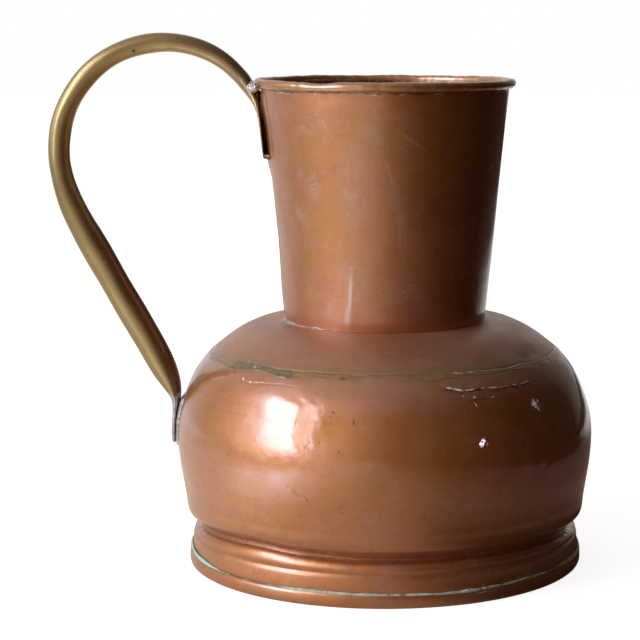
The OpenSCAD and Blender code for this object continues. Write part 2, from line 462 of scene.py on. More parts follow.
def neck_marks(n, u, v, col, r, cr):
    # amber blotches, lilac clouds and pale rubbed scratches
    for th, z, sx, sz, t, k in (
        (-41, 196, 5, 13, 0, 0.9), (-50, 198, 5, 10, 0, 0.7), (-45, 150, 10, 12, 0, 0.95), (-44, 147, 6, 9, 0, 0.5), (-32, 160, 8, 14, 0, 0.5),
        (1, 204, 14, 10, 0, 0.8), (-8, 212, 9, 12, 0, 0.5), (22, 200, 16, 26, 0, 0.5), (30, 150, 14, 24, 0, 0.4), (-28, 170, 16, 20, 0, 0.35), (9, 148, 26, 6, 10, 0.45),
        (-14, 150, 8, 22, 0, 0.25), (-62, 186, 7, 22, 0, 0.3),
    ):
        m = n.mul(n.spot(u, v, th, z, sx * 1.9, sz), n.step(n.noise(120.0, 3.0, 0.6, 0.5), 0.20, 0.52))
        col = n.mix(n.mul(m, k), col, (0.48, 0.215, 0.026))
    for th, z, sx, sz, t, k in (
        (-37, 184, 6, 10, 30, 0.75), (-45, 189, 4, 4, 0, 0.5), (-5, 208, 10, 7, -20, 0.5), (-16, 185, 9, 36, 0, 0.45),
        (-48, 172, 7, 6, 0, 0.5), (-18, 140, 12, 20, 0, 0.55), (6, 176, 8, 22, -10, 0.5), (-30, 212, 14, 9, 0, 0.4), (10, 135, 18, 14, 0, 0.3), (-30, 128, 16, 7, 0, 0.3),
        (12, 200, 12, 6, -15, 0.35), (-40, 212, 16, 7, 10, 0.3),
    ):
        m = n.mul(n.spot(u, v, th, z, sx * 1.9, sz, t), n.step(n.noise(150.0, 4.0, 0.6, 1.0, offset=(3, 1, 0)), 0.34, 0.66))
        col = n.mix(n.mul(m, k), col, (0.56, 0.36, 0.27))
        cr = n.add(cr, n.mul(m, 0.10))
    pale = 0.0
    for th, z, sx, sz, t in (
        (3.0, 189, 12, 0.45, -62), (4.5, 178, 12, 0.5, -80), (7.5, 163, 1.0, 6.5, 0), (9.5, 158, 9, 0.5, 8),
        (16.5, 173.5, 5.5, 0.8, 48), (12.0, 206, 17, 0.5, -22), (-4.0, 200, 12, 0.45, -50), (-2.0, 192, 14, 0.35, -70),
        (10.0, 161, 0.8, 5, 20), (-30, 160, 9, 0.3, 35), (24, 168, 10, 0.3, -12), (-20, 190, 8, 0.3, -35),
    ):
        m = n.spot(u, v, th, z, sx, sz, t)
        pale = m if isinstance(pale, float) else n.maxi(pale, m)
    worn = n.mul(pale, n.step(n.noise(420.0, 2.0, 0.6), 0.36, 0.60))
    col = n.mix(n.mul(worn, 0.55), col, (0.66, 0.50, 0.40))
    r = n.add(r, n.mul(worn, 0.12))
    side = n.step(u, math.radians(-36.0) * 95.0, math.radians(-56.0) * 95.0)
    side = n.mul(side, n.step(u, math.radians(-170.0) * 95.0, math.radians(-120.0) * 95.0))
    cr = n.add(cr, n.mul(side, 0.24))
    # redder and brighter band at the bottom of the neck
    low = n.step(v, 131.0, 119.5)
    col = n.mix(n.mul(low, 0.55), col, (0.62, 0.21, 0.080))
    # painted highlight along the crease that runs up from the joint
    crease = n.maxi(n.spot(u, v, -18.7, 134.0, 2.2, 19.0, -10, 0.7), n.mul(n.spot(u, v, -20.3, 124.0, 5.0, 8.0, -10, 0.8), 0.7))
    col = n.mix(n.mul(crease, 0.70), col, (0.80, 0.60, 0.52))
    # a paler smear over the middle of the front
    smear = n.mul(n.spot(u, v, 7.0, 168.0, 3.2, 17.0, 4, 0.8), n.step(n.noise(180.0, 3.0, 0.6, 0.4, offset=(5, 5, 5)), 0.34, 0.60))
    smear = n.maxi(smear, n.mul(n.spot(u, v, 2.5, 190.0, 15.0, 1.7, -58, 0.8), 0.9))
    smear = n.maxi(smear, n.mul(n.spot(u, v, 13.0, 205.5, 19.0, 1.6, -22, 0.8), 0.8))
    col = n.mix(n.mul(smear, 0.42), col, (0.60, 0.40, 0.28))
    # salmon flush under the rim
    flush = n.mul(n.spot(u, v, -27.0, 224.0, 24.0, 5.0, 0, 0.8), n.step(n.noise(110.0, 3.0, 0.6, 0.4, offset=(2, 9, 5)), 0.30, 0.56))
    col = n.mix(n.mul(flush, 0.6), col, (0.74, 0.31, 0.17))
    return col, r, cr


def bowl_marks(n, u, v, col, r, cr):
    for th, z, sx, sz, t, k in (
        (-57, 80, 16, 15, 0, 0.7), (-50, 69, 18, 9, 0, 0.6), (2, 82, 44, 10, 0, 0.6), (8, 69, 56, 12, 0, 0.7), (-2, 56, 50, 8, 0, 0.25), (36, 84, 22, 12, 0, 0.35),
        (20, 62, 30, 6, 0, 0.2), (-20, 38, 26, 6, 0, 0.3), (90, 70, 40, 20, 0, 0.3), (150, 60, 50, 16, 0, 0.35),
        (-130, 75, 46, 14, 0, 0.35),
    ):
        m = n.mul(n.spot(u, v, th, z, sx, sz, t), n.step(n.noise(70.0, 4.0, 0.6, 1.0, offset=(1, 9, 2)), 0.30, 0.60))
        col = n.mix(n.mul(m, k), col, COPPER["amber"])
    for th, z, sx, sz, t, k in (
        (-29, 57, 9, 9, 0, 0.75), (-24, 62, 6, 4, 0, 0.7), (-32, 45, 7, 7, 0, 0.45), (-38, 90, 16, 6, 0, 0.35),
        (-4, 92, 40, 6, 0, 0.35), (12, 92, 24, 6, 0, 0.35), (20, 48, 20, 10, 0, 0.25), (-70, 44, 14, 14, 0, 0.4),
    ):
        m = n.mul(n.spot(u, v, th, z, sx, sz, t), n.step(n.noise(90.0, 4.0, 0.6, 1.0, offset=(5, 2, 7)), 0.30, 0.60))
        col = n.mix(n.mul(m, k), col, (0.62, 0.33, 0.25))
    # olive stain along the braze
    stain = n.mul(n.step(v, 100.2, 102.2), n.step(n.noise(80.0, 4.0, 0.65, 0.6, offset=(8, 2, 3)), 0.32, 0.60))
    stain = n.mul(stain, n.step(u, math.radians(62) * 95.0, math.radians(48) * 95.0, 0.2, 1.0))
    col = n.mix(n.mul(stain, 0.60), col, (0.34, 0.25, 0.10))
    # dark nicks and short cuts in the surface
    nick = None
    for th, z, sx, sz, t in (
        (-25.6, 54.8, 1.4, 0.35, 60), (-23.4, 52.6, 2.4, 0.45, -66), (-22.6, 51.2, 1.2, 0.35, 35), (-20.4, 49.9, 3.0, 0.5, -58),
        (-20.9, 73.2, 1.1, 0.5, 75), (-19.8, 75.4, 0.9, 0.4, 70), (-17.0, 75.8, 1.0, 0.5, 70), (-11.7, 72.2, 1.4, 0.45, 60),
        (-10.9, 71.2, 1.1, 0.4, 80), (-14.2, 88.6, 1.6, 0.7, -20), (-14.9, 86.9, 0.8, 0.5, 0), (-8.4, 85.0, 0.6, 2.2, 12),
        (25.9, 90.2, 0.8, 1.6, 20), (38.5, 71.0, 0.5, 2.4, 0), (-60.8, 88.0, 0.8, 0.5, 0),
        (110, 70, 2.0, 0.5, 30), (128, 55, 3.0, 0.4, -20), (170, 80, 2.5, 0.5, 60), (-120, 62, 2.6, 0.45, -40), (-150, 48, 1.6, 0.6, 10),
    ):
        m = n.spot(u, v, th, z, sx, sz, t)
        nick = m if nick is None else n.maxi(nick, m)
    nick = n.mul(nick, n.step(n.noise(900.0, 2.0, 0.5), 0.30, 0.50))
    col = n.mix(n.mul(nick, 0.85), col, (0.05, 0.022, 0.014))
    r = n.add(r, n.mul(nick, 0.3))
    # a pale curved line that sweeps down from the braze on the left, with paler copper above it
    hx = n.sub(u, math.radians(-53.0) * 95.0)
    curve = n.sub(v, n.sub(102.4, n.mul(n.mul(hx, hx), 0.0105)))
    wob = n.mul(n.sub(n.noise(110.0, 3.0, 0.6), 0.5), 3.0)
    line = n.mul(n.step(n.math("ABSOLUTE", n.add(curve, wob)), 0.9, 0.1), n.mul(n.step(hx, 3.0, -2.0), n.step(hx, -92.0, -66.0)))
    col = n.mix(n.mul(line, 0.6), col, (0.66, 0.42, 0.25))
    above = n.mul(n.step(n.add(curve, wob), -0.2, 1.6), n.mul(n.step(hx, 3.0, -3.0), n.step(hx, -92.0, -66.0)))
    col = n.mix(n.mul(above, 0.65), col, (0.50, 0.34, 0.235))
    # duller, pinker copper just below the braze
    near = n.mul(n.step(v, 90.0, 101.0), n.step(n.noise(60.0, 3.0, 0.6, 0.4, offset=(2, 6, 4)), 0.25, 0.6))
    col = n.mix(n.mul(near, 0.6), col, (0.50, 0.27, 0.175))
    r = n.add(r, n.mul(near, 0.06))
    # the lap's edge: a thin dark crack, a band of painted shade under the step, and painted glints along it
    def trail(points, width, lift=0.0):
        m = None
        for (a0, z0), (a1, z1) in zip(points[:-1], points[1:]):
            x0, x1 = math.radians(a0) * 95, math.radians(a1) * 95
            length = math.hypot(x1 - x0, z1 - z0)
            tilt = math.degrees(math.atan2(z1 - z0, x1 - x0))
            q = n.spot(u, v, 0.5 * (a0 + a1), 0.5 * (z0 + z1) + lift, 0.5 * length + 0.7, width, tilt, 0.55)
            m = q if m is None else n.maxi(m, q)
        return m

    jitter = n.noise(230.0, 3.0, 0.6, 0.0, offset=(3, 3, 9))
    keep_v = v
    v = n.add(v, n.mul(n.sub(jitter, 0.5), 1.0))
    right = [(17.5, 98.2), (20.0, 97.7), (23.3, 96.5), (27.0, 96.9), (31.0, 97.1), (35.5, 96.5), (39.0, 96.5), (43.0, 96.6), (48.5, 97.1)]
    left = [(-54.0, 98.7), (-50.0, 98.3), (-46.5, 97.3), (-43.5, 97.3), (-38.0, 98.0), (-31.0, 98.0), (-26.5, 98.1), (-21.5, 96.9), (-17.5, 95.6)]
    crack = n.mul(trail(right, 0.42, -0.55), n.step(n.noise(75.0, 2.0, 0.5, 0.0, offset=(1, 1, 8)), 0.30, 0.44))
    # painted shade: a darker band just under the lap's step
    shade = n.mul(trail(right, 1.0, -1.1), 0.35)
    faint = n.mul(trail(left, 0.4, -0.5), 0.10)
    col = n.mix(shade, col, (0.22, 0.07, 0.03))
    col = n.mix(n.maxi(n.mul(crack, 0.95), faint), col, (0.03, 0.014, 0.010))
    # painted highlights: pale glint trails along the step, made non-metallic in copper()
    gl = n.step(n.noise(1.0, 3.0, 0.6, 0.0, at=n.join(n.mul(u, 0.26), n.mul(v, 0.5), 3.0)), 0.42, 0.52)
    gl2 = n.mul(n.step(n.noise(330.0, 2.0, 0.6, 0.0, offset=(6, 1, 2)), 0.47, 0.56), n.step(n.noise(62.0, 1.0, 0.5, 0.0, offset=(2, 5, 2)), 0.50, 0.60))
    glint = n.maxi(n.mul(trail(right, 0.46, 0.14), gl), n.mul(trail(left, 0.24, 0.10), gl2))
    # more painted glints: single spots on the lap's edge and on small dents
    for th, z, sx, sz, t in ((22.7, 94.6, 0.6, 0.4, 0), (26.0, 93.8, 1.0, 0.35, 10), (31.9, 93.2, 0.9, 0.38, 0), (21.5, 97.2, 3.2, 0.5, -14), (25.2, 96.8, 3.0, 0.42, 6), (-43.9, 97.3, 1.0, 0.5, 0),
                             (-47.5, 98.0, 1.4, 0.45, -30), (25.9, 90.6, 0.35, 1.4, 25), (47.0, 97.2, 0.9, 0.5, 0)):
        glint = n.maxi(glint, n.spot(u, keep_v, th, z, sx, sz, t, 0.5))
    col = n.mix(n.mul(glint, 0.95), col, (0.95, 0.90, 0.80))
    n.glint = glint
    low = n.spot(u, keep_v, 27.0, 92.6, 9.0, 0.5, 0)
    col = n.mix(n.mul(low, 0.6), col, (0.10, 0.04, 0.02))
    v = keep_v
    # two small spots rubbed to a mirror
    mirror = n.maxi(n.spot(u, v, 26.0, 72.6, 7.0, 7.0, 0, 0.4), n.spot(u, v, 47.5, 82.5, 4.0, 8.0, 0, 0.4))
    cr = n.mul(cr, n.sub(1.0, n.mul(mirror, 0.75)))
    cr = n.mul(cr, n.step(u, math.radians(12.0) * 95.0, math.radians(36.0) * 95.0, 1.0, 0.30))
    # thin straight scribe on the front
    scribe = n.mul(n.spot(u, v, -2.5, 91.5, 12.0, 0.35, 10), 0.6)
    col = n.mix(scribe, col, (0.42, 0.16, 0.12))
    return col, r, cr


def shoulder_marks(n, u, v, col, r, cr):
    pink = n.step(n.noise(34.0, 4.0, 0.6, 0.7, offset=(4, 4, 1)), 0.25, 0.62)
    col = n.mix(n.mul(pink, 0.65), col, (0.50, 0.275, 0.185))
    # grey flux stain round the solder on the left
    grey = n.mul(n.spot(u, v, -66, 117.0, 24.0, 3.4), n.step(n.noise(130.0, 3.0, 0.6), 0.30, 0.60))
    col = n.mix(n.mul(grey, 0.75), col, (0.26, 0.22, 0.20))
    # olive bloom left by the brazing
    bloom = n.mul(n.step(v, 110.5, 104.0), n.step(n.noise(55.0, 4.0, 0.65, 0.8, offset=(8, 0, 3)), 0.42, 0.68))
    col = n.mix(n.mul(bloom, 0.40), col, (0.38, 0.29, 0.15))
    stain = n.mul(n.step(v, 107.2, 105.0), n.step(n.noise(80.0, 4.0, 0.65, 0.6, offset=(8, 2, 3)), 0.30, 0.58))
    stain = n.mul(stain, n.step(u, math.radians(62) * 95.0, math.radians(48) * 95.0, 0.2, 1.0))
    col = n.mix(n.mul(stain, 0.65), col, (0.34, 0.25, 0.10))
    # a dark patch on the right of the shoulder
    dark_patch = n.mul(n.spot(u, v, 53.0, 105.5, 11.0, 3.8, 0, 0.9), n.step(n.noise(150.0, 3.0, 0.6, 0.3, offset=(8, 2, 9)), 0.30, 0.55))
    col = n.mix(n.mul(dark_patch, 0.7), col, (0.11, 0.055, 0.035))
    # painted shade: darker copper where the shoulder meets the neck; it is rougher there too
    near = n.step(v, 110.5, 116.6)
    col = n.mix(n.mul(near, 0.22), col, (0.36, 0.16, 0.10))
    r = n.add(n.add(r, 0.05), n.mul(near, 0.12))
    cr = n.add(n.add(cr, 0.08), n.mul(near, 0.15))
    return col, r, cr


def foot_marks(n, u, v, col, r, cr):
    # dirt and green in the grooves
    groove = n.mul(n.step(n.math("ABSOLUTE", n.sub(v, 15.2)), 1.0, 0.2), 0.35)
    dirt = n.mul(groove, n.step(n.noise(160.0, 4.0, 0.65, 0.4), 0.22, 0.66))
    col = n.mix(n.mul(dirt, 0.75), col, (0.17, 0.085, 0.05))
    r = n.add(r, n.mul(dirt, 0.2))
    low = n.mul(n.step(v, 8.6, 6.4), n.step(n.noise(210.0, 4.0, 0.7, 0.5), 0.36, 0.62))
    col = n.mix(n.mul(low, 0.55), col, (0.30, 0.27, 0.20))
    return col, r, cr


def hem_marks(n, u, v, col, r, cr):
    worn = n.step(n.noise(70.0, 4.0, 0.6, 0.8, offset=(6, 6, 6)), 0.40, 0.64)
    col = n.mix(n.mul(worn, 0.45), col, (0.36, 0.20, 0.12))
    flat = n.step(v, 0.7, 0.25)
    col = n.mix(n.mul(flat, 0.7), col, (0.22, 0.12, 0.075))
    r = n.add(r, n.mul(flat, 0.15))
    return col, r, cr


def rim_marks(n, u, v, col, r, cr):
    col, r, cr = neck_marks(n, u, v, col, r, cr)
    # painted shade inside the neck, darkest on the left; the coat is dimmed there too
    x, y, z = n.xyz()
    rr = n.math("SQRT", n.add(n.mul(x, x), n.mul(y, y)))
    face = n.t.nodes.new("ShaderNodeSeparateXYZ")
    n.t.links.new(n.t.nodes.new("ShaderNodeTexCoord").outputs["Normal"], face.inputs[0])
    facing = n.math("DIVIDE", n.add(n.mul(face.outputs[0], x), n.mul(face.outputs[1], y)), rr)
    inside = n.mul(n.step(facing, 0.1, -0.4), n.step(z, 0.2300, 0.2288))
    col = n.mix(n.mul(inside, n.step(x, 0.045, -0.02, 0.25, 0.96)), col, (0.040, 0.017, 0.010))
    r = n.add(r, n.mul(inside, 0.10))
    n.dim = n.mul(inside, n.step(x, 0.045, -0.02, 0.25, 0.85))
    # painted shadow: a dark jagged line on the outer wall just under the roll, strongest at the front, with painted
    # glints just below it
    wander = n.add(v, n.mul(n.sub(n.noise(150.0, 4.0, 0.65, 0.3, offset=(4, 6, 2)), 0.5), 2.6))
    outer = n.mul(n.sub(1.0, inside), n.step(v, 228.5, 227.7))
    front = n.step(n.math("ABSOLUTE", n.add(u, 22.0)), 84.0, 52.0, 0.12, 1.0)
    painted_edge_shadow = n.mul(n.mul(outer, n.step(wander, 226.8, 227.1)), front)
    col = n.mix(n.mul(painted_edge_shadow, 0.85), col, (0.06, 0.025, 0.016))
    painted_edge_glints = n.mul(n.mul(n.step(wander, 226.1, 226.4), n.step(wander, 227.0, 226.7)), n.step(n.noise(210.0, 2.0, 0.6, 0.0, offset=(1, 3, 6)), 0.52, 0.60))
    col = n.mix(n.mul(n.mul(painted_edge_glints, outer), 0.7), col, (0.92, 0.66, 0.50))
    top = n.step(v, 226.6, 228.4)
    col = n.mix(n.mul(n.mul(top, n.sub(1.0, inside)), 0.40), col, (0.50, 0.29, 0.125))
    edge = n.step(n.noise(240.0, 4.0, 0.65, 0.4, offset=(9, 9, 1)), 0.42, 0.66)
    col = n.mix(n.mul(n.mul(top, edge), 0.55), col, (0.68, 0.42, 0.26))
    return col, r, cr


def brass_material():
    n = Nodes("brass_tube")
    big = n.noise(16.0, 3.0, 0.55, 0.6)
    mid = n.noise(70.0, 4.0, 0.6, 0.6, offset=(2, 1, 5))
    fine = n.noise(520.0, 4.0, 0.65, 0.2, offset=(5, 5, 1))
    col = n.mix(n.step(big, 0.35, 0.68), (0.42, 0.315, 0.130), (0.49, 0.375, 0.178))
    col = n.mix(n.mul(n.step(mid, 0.48, 0.74), 0.50), col, (0.35, 0.262, 0.095))
    col = n.mix(n.mul(n.step(fine, 0.58, 0.80), 0.5), col, (0.17, 0.105, 0.045))
    # browner and pinker on the top of the loop nearest the neck, and darker lower down
    x, y, z = n.xyz()
    right = n.mul(n.step(x, -0.112, -0.080), n.step(z, 0.222, 0.240))
    col = n.mix(n.mul(right, 0.45), col, (0.34, 0.225, 0.135))
    low = n.step(z, 0.125, 0.088)
    col = n.mix(n.mul(low, 0.30), col, (0.34, 0.225, 0.08))
    limb = n.step(z, 0.222, 0.190)
    col = n.mix(n.mul(limb, 0.55), col, (0.30, 0.215, 0.085))
    # painted shade: dark brown on the lower part of the side that faces the vessel
    face = n.t.nodes.new("ShaderNodeSeparateXYZ")
    n.t.links.new(n.t.nodes.new("ShaderNodeTexCoord").outputs["Normal"], face.inputs[0])
    vessel_side_shade = n.mul(n.step(face.outputs[0], 0.05, 0.75), n.step(z, 0.178, 0.150))
    col = n.mix(n.mul(vessel_side_shade, 0.85), col, (0.12, 0.045, 0.018))
    # small dark pits
    pit = n.t.nodes.new("ShaderNodeTexVoronoi")
    pit.inputs["Scale"].default_value = 120.0
    n.t.links.new(n.co, pit.inputs["Vector"])
    spots = n.mul(n.step(pit.outputs["Distance"], 0.10, 0.03), n.step(n.noise(40.0, 1.0, 0.5, 0.0, offset=(3, 3, 3)), 0.56, 0.66))
    col = n.mix(n.mul(spots, 0.8), col, (0.06, 0.035, 0.02))
    d = n.t.nodes.new("ShaderNodeVectorMath")
    d.operation = "DISTANCE"
    n.t.links.new(n.co, d.inputs[0])
    d.inputs[1].default_value = (-0.1185, -0.0040, 0.2452)
    col = n.mix(n.step(d.outputs["Value"], 0.0011, 0.0004), col, (0.10, 0.045, 0.02))
    r = n.add(n.mul(n.sub(mid, 0.5), 0.22), 0.40)
    r = n.add(r, n.mul(n.sub(fine, 0.5), 0.14))
    n.set(color=col, metallic=0.92, rough=r, coat=0.45, coat_rough=0.16, coat_ior=1.6,
          normal=n.bump(n.add(mid, n.mul(fine, 0.5)), 0.14, 0.0005),
          coat_normal=n.bump(mid, 0.10, 0.0005), ior=1.5)
    return n.m


def solder_material(name, base, other, green=0.0, rough=0.42, metallic=0.85):
    n = Nodes(name)
    a = n.noise(260.0, 4.0, 0.65, 0.8)
    b = n.noise(900.0, 3.0, 0.6, 0.2, offset=(2, 2, 2))
    col = n.mix(n.step(a, 0.40, 0.64), base, other)
    if green:
        col = n.mix(n.mul(n.step(n.noise(140.0, 4.0, 0.7, 0.6, offset=(7, 1, 3)), 0.46, 0.62), green), col, (0.33, 0.52, 0.42))
    col = n.mix(n.mul(n.step(b, 0.55, 0.75), 0.5), col, (0.09, 0.08, 0.07))
    r = n.add(n.mul(n.sub(a, 0.5), 0.3), rough)
    n.set(color=col, metallic=metallic, rough=r, normal=n.bump(n.add(a, n.mul(b, 0.4)), 0.26, 0.0006), coat=0.3, coat_rough=0.12)
    return n.m


def neck_solder_material():
    """Silver-white where the joint was run full on the left and behind, dark flux-stained elsewhere."""
    n = Nodes("neck_solder_line")
    u, v = n.around()
    a = n.noise(260.0, 4.0, 0.65, 0.8)
    b = n.noise(700.0, 3.0, 0.6, 0.2, offset=(2, 2, 2))
    tin = n.mix(n.step(a, 0.40, 0.64), (0.50, 0.49, 0.45), (0.70, 0.68, 0.63))
    dark = n.mix(n.step(a, 0.40, 0.64), (0.16, 0.055, 0.028), (0.24, 0.09, 0.045))
    side = n.maxi(n.step(u, math.radians(-33) * 95.0, math.radians(-40) * 95.0), n.step(u, math.radians(140) * 95.0, math.radians(165) * 95.0))
    patchy = n.step(n.noise(90.0, 3.0, 0.6, 0.5, offset=(4, 4, 4)), 0.38, 0.50)
    col = n.mix(n.mul(side, patchy), dark, tin)
    col = n.mix(n.mul(n.step(b, 0.55, 0.75), 0.5), col, (0.07, 0.05, 0.04))
    r = n.add(n.mul(n.sub(a, 0.5), 0.3), 0.36)
    n.set(color=col, metallic=0.85, rough=r, normal=n.bump(n.add(a, n.mul(b, 0.6)), 0.45, 0.0006), coat=0.3, coat_rough=0.2)
    return n.m


def braze_material():
    n = Nodes("seam_braze")
    a = n.noise(150.0, 4.0, 0.65, 0.9)
    b = n.noise(520.0, 4.0, 0.6, 0.3, offset=(2, 2, 2))
    u, v = n.around()
    streak = n.noise(1.0, 4.0, 0.6, 0.0, at=n.join(n.mul(u, 0.10), n.mul(v, 1.6), 0.0))
    col = n.mix(n.step(a, 0.38, 0.62), (0.44, 0.30, 0.105), (0.48, 0.31, 0.14))
    col = n.mix(n.mul(n.step(b, 0.48, 0.70), 0.45), col, (0.27, 0.19, 0.07))
    # copper shows through in the middle of the band
    col = n.mix(n.mul(n.step(streak, 0.47, 0.58), 0.7), col, (0.43, 0.20, 0.10))
    # the far ends are worn down to the colour of the copper
    far = n.maxi(n.step(u, math.radians(49) * 95.0, math.radians(57) * 95.0), n.step(u, math.radians(-58) * 95.0, math.radians(-70) * 95.0))
    col = n.mix(n.mul(far, 0.85), col, (0.37, 0.165, 0.085))
    hem = n.add(v, n.mul(n.sub(n.noise(120.0, 3.0, 0.6, 0.3, offset=(3, 8, 8)), 0.5), 2.2))
    soft = n.maxi(n.step(hem, 103.3, 104.4), n.step(hem, 102.2, 101.3))
    col = n.mix(n.mul(soft, 0.60), col, (0.46, 0.235, 0.115))
    # thick dark bead on the left
    thick = n.mul(n.step(u, math.radians(-60) * 95.0, math.radians(-56) * 95.0), n.step(u, math.radians(-29) * 95.0, math.radians(-32) * 95.0))
    col = n.mix(n.mul(thick, n.step(b, 0.35, 0.60, 0.45, 0.85)), col, (0.20, 0.185, 0.105))
    tick = n.spot(u, v, -30.2, 101.6, 1.3, 2.4, 0)
    col = n.mix(n.mul(tick, 0.8), col, (0.17, 0.16, 0.09))
    col = n.mix(n.mul(n.step(n.noise(300.0, 2.0, 0.5, 0.3, offset=(4, 1, 1)), 0.64, 0.74), 0.6), col, (0.06, 0.05, 0.03))
    # painted highlights: pale glints along the upper edge, made non-metallic so they stay bright
    gl = n.step(n.noise(280.0, 2.0, 0.6, 0.0, offset=(2, 7, 2)), 0.48, 0.56)
    bright = n.mul(n.mul(n.step(u, 34.0, 37.0), n.step(u, 80.0, 76.0)), n.mul(n.step(v, 103.2, 103.6), n.step(n.noise(85.0, 2.0, 0.5, 0.0, offset=(5, 5, 7)), 0.48, 0.56)))
    bright = n.mul(bright, 0.8)
    bright = n.maxi(bright, n.mul(n.spot(u, v, -46.0, 103.4, 5.0, 0.6, -8), 1.0))
    glint = n.mul(bright, gl)
    col = n.mix(n.mul(glint, 0.95), col, (0.95, 0.90, 0.76))
    r = n.add(n.mul(n.sub(a, 0.5), 0.3), 0.46)
    n.set(color=col, metallic=n.mul(0.8, n.sub(1.0, glint)), rough=r, normal=n.bump(n.add(a, n.mul(b, 0.6)), 0.4, 0.0006), coat=0.7, coat_rough=0.14, coat_ior=1.7)
    return n.m


def verdigris_material():
    n = Nodes("verdigris_seam")
    u, v = n.around()
    a = n.noise(170.0, 4.0, 0.65, 0.8)
    b = n.noise(700.0, 3.0, 0.6, 0.2, offset=(2, 2, 2))
    col = n.mix(n.step(a, 0.36, 0.60), (0.44, 0.52, 0.43), (0.66, 0.74, 0.63))
    left = n.mul(n.step(u, math.radians(-50) * 95.0, math.radians(-63) * 95.0), n.step(u, math.radians(-95) * 95.0, math.radians(-84) * 95.0))
    col = n.mix(n.mul(left, 0.85), col, (0.46, 0.78, 0.66))
    brown = n.mul(n.step(n.noise(95.0, 3.0, 0.65, 0.6, offset=(7, 3, 1)), 0.50, 0.62), 0.8)
    gap = n.mul(n.step(u, math.radians(-60) * 95.0, math.radians(-52) * 95.0), n.step(u, math.radians(-30) * 95.0, math.radians(-36) * 95.0))
    brown = n.maxi(brown, n.mul(gap, n.step(a, 0.35, 0.52)))
    col = n.mix(n.mul(brown, n.sub(1.0, left)), col, (0.27, 0.16, 0.10))
    col = n.mix(n.mul(n.step(b, 0.56, 0.72), 0.55), col, (0.10, 0.09, 0.06))
    n.set(color=col, metallic=0.1, rough=0.62, normal=n.bump(n.add(a, n.mul(b, 0.6)), 0.5, 0.0005), ior=1.5)
    return n.m


def wire_material():
    n = Nodes("iron_wire")
    a = n.noise(300.0, 4.0, 0.6, 0.3)
    col = n.mix(n.step(a, 0.45, 0.65), (0.20, 0.18, 0.17), (0.17, 0.085, 0.045))
    n.set(color=col, metallic=0.8, rough=n.add(n.mul(a, 0.3), 0.35), normal=n.bump(a, 0.3, 0.0004))
    return n.m


MAT = {
    "neck": copper("copper_neck", rim_marks, 0.25, "up", 0.47, 0.85, 0.0, 0.0, 0.13),
    "shoulder": copper("copper_shoulder", shoulder_marks, 0.5, "ring", 0.54, 0.7, 3.0, 0.0, 0.16),
    "bowl": copper("copper_bowl", bowl_marks, 0.3, "ring", 0.52, 1.0, 6.0, 0.0, 0.085),
    "foot": copper("copper_foot", foot_marks, 0.35, "ring", 0.47, 0.8, 9.0, 0.0, 0.17),
    "base": copper("copper_base", hem_marks, 0.3, "ring", 0.46, 0.8, 12.0, 0.0, 0.10),
    "patch": copper("copper_patch", None, 0.25, "up", 0.46, 0.7, 15.0, 0.14, 0.22),
    "brass": brass_material(),
    "braze": braze_material(),
    "solder": solder_material("tin_solder", (0.56, 0.56, 0.53), (0.72, 0.72, 0.69), 0.25, 0.34),
    "tinned": solder_material("tinned_tab", (0.40, 0.40, 0.38), (0.58, 0.58, 0.55), 0.12, 0.40),
    "verdigris": verdigris_material(),
    "wire": wire_material(),
}

# ---------------------------------------------------------------------------
# Vessel profiles, the same as the CAD's
# ---------------------------------------------------------------------------
NECK_LOW, NECK_HIGH, RIM_Z, JOINT_Z, SHEET, BASE_T = 48.0, 59.0, 230.0, 117.2, 1.0, 0.8


def rn(z):
    return NECK_LOW + (z - JOINT_Z) * (NECK_HIGH - NECK_LOW) / (RIM_Z - 2.8 - JOINT_Z)


SHOULDER = np.concatenate([
    [[rn(JOINT_Z), JOINT_Z]],
    catmull([[53, 117.1], [57, 116.8], [61, 116.1], [65, 114.8], [69, 112.9], [73, 110.5],
             [76.5, 108], [79.4, 105.75], [81.25, 104.3]], 8),
])
BOWL = catmull([[82.9, 103], [85.9, 100], [89.2, 96], [91.8, 92], [93.75, 88], [95.45, 84],
                [97.6, 78], [99.2, 72], [100, 66], [100.15, 60], [99.8, 54], [99.15, 48],
                [98.3, 43], [97.4, 38], [96.6, 33.8], [96.2, 30.8], [95.6, 28.2], [94.35, 26],
                [92.35, 24.3], [90.1, 22.6], [88.6, 21.4]], 10)
FOOT = np.concatenate([
    [[88.95, 20.65], [88.95, 20.4]],
    catmull([[89.35, 20.1], [90.5, 19.8], [91.6, 19.3], [92.35, 18.55], [92.8, 17.7], [92.95, 16.9],
             [92.9, 16.2], [92.78, 15.6], [92.68, 15.15], [92.78, 14.75], [93.05, 14.4], [93.3, 13.85],
             [93.45, 12.5], [93.6, 9], [93.6, 6.5]], 6),
    [[93.7, 5.2], [94, 4.4], [94.15, 3.4], [94.2, 2.2], [94.2, BASE_T]],
])

# gentle waves of the hammered and polished sheet
wave_body = noise2(11, 26, 80, 44, 97, 1.1)
wave_fine = noise2(12, 9, 24, 60, 97, 1.0)
wave_neck = noise2(13, 22, 90, 40, 54, 1.1)
wave_neck_fine = noise2(14, 8, 22, 50, 54, 1.0)
jag_a, jag_b, jag_c = noise1(21, 14, 130, 50, 0.5), noise1(22, 10, 110, 50, 0.5), noise1(23, 18, 190, 50, 0.4)

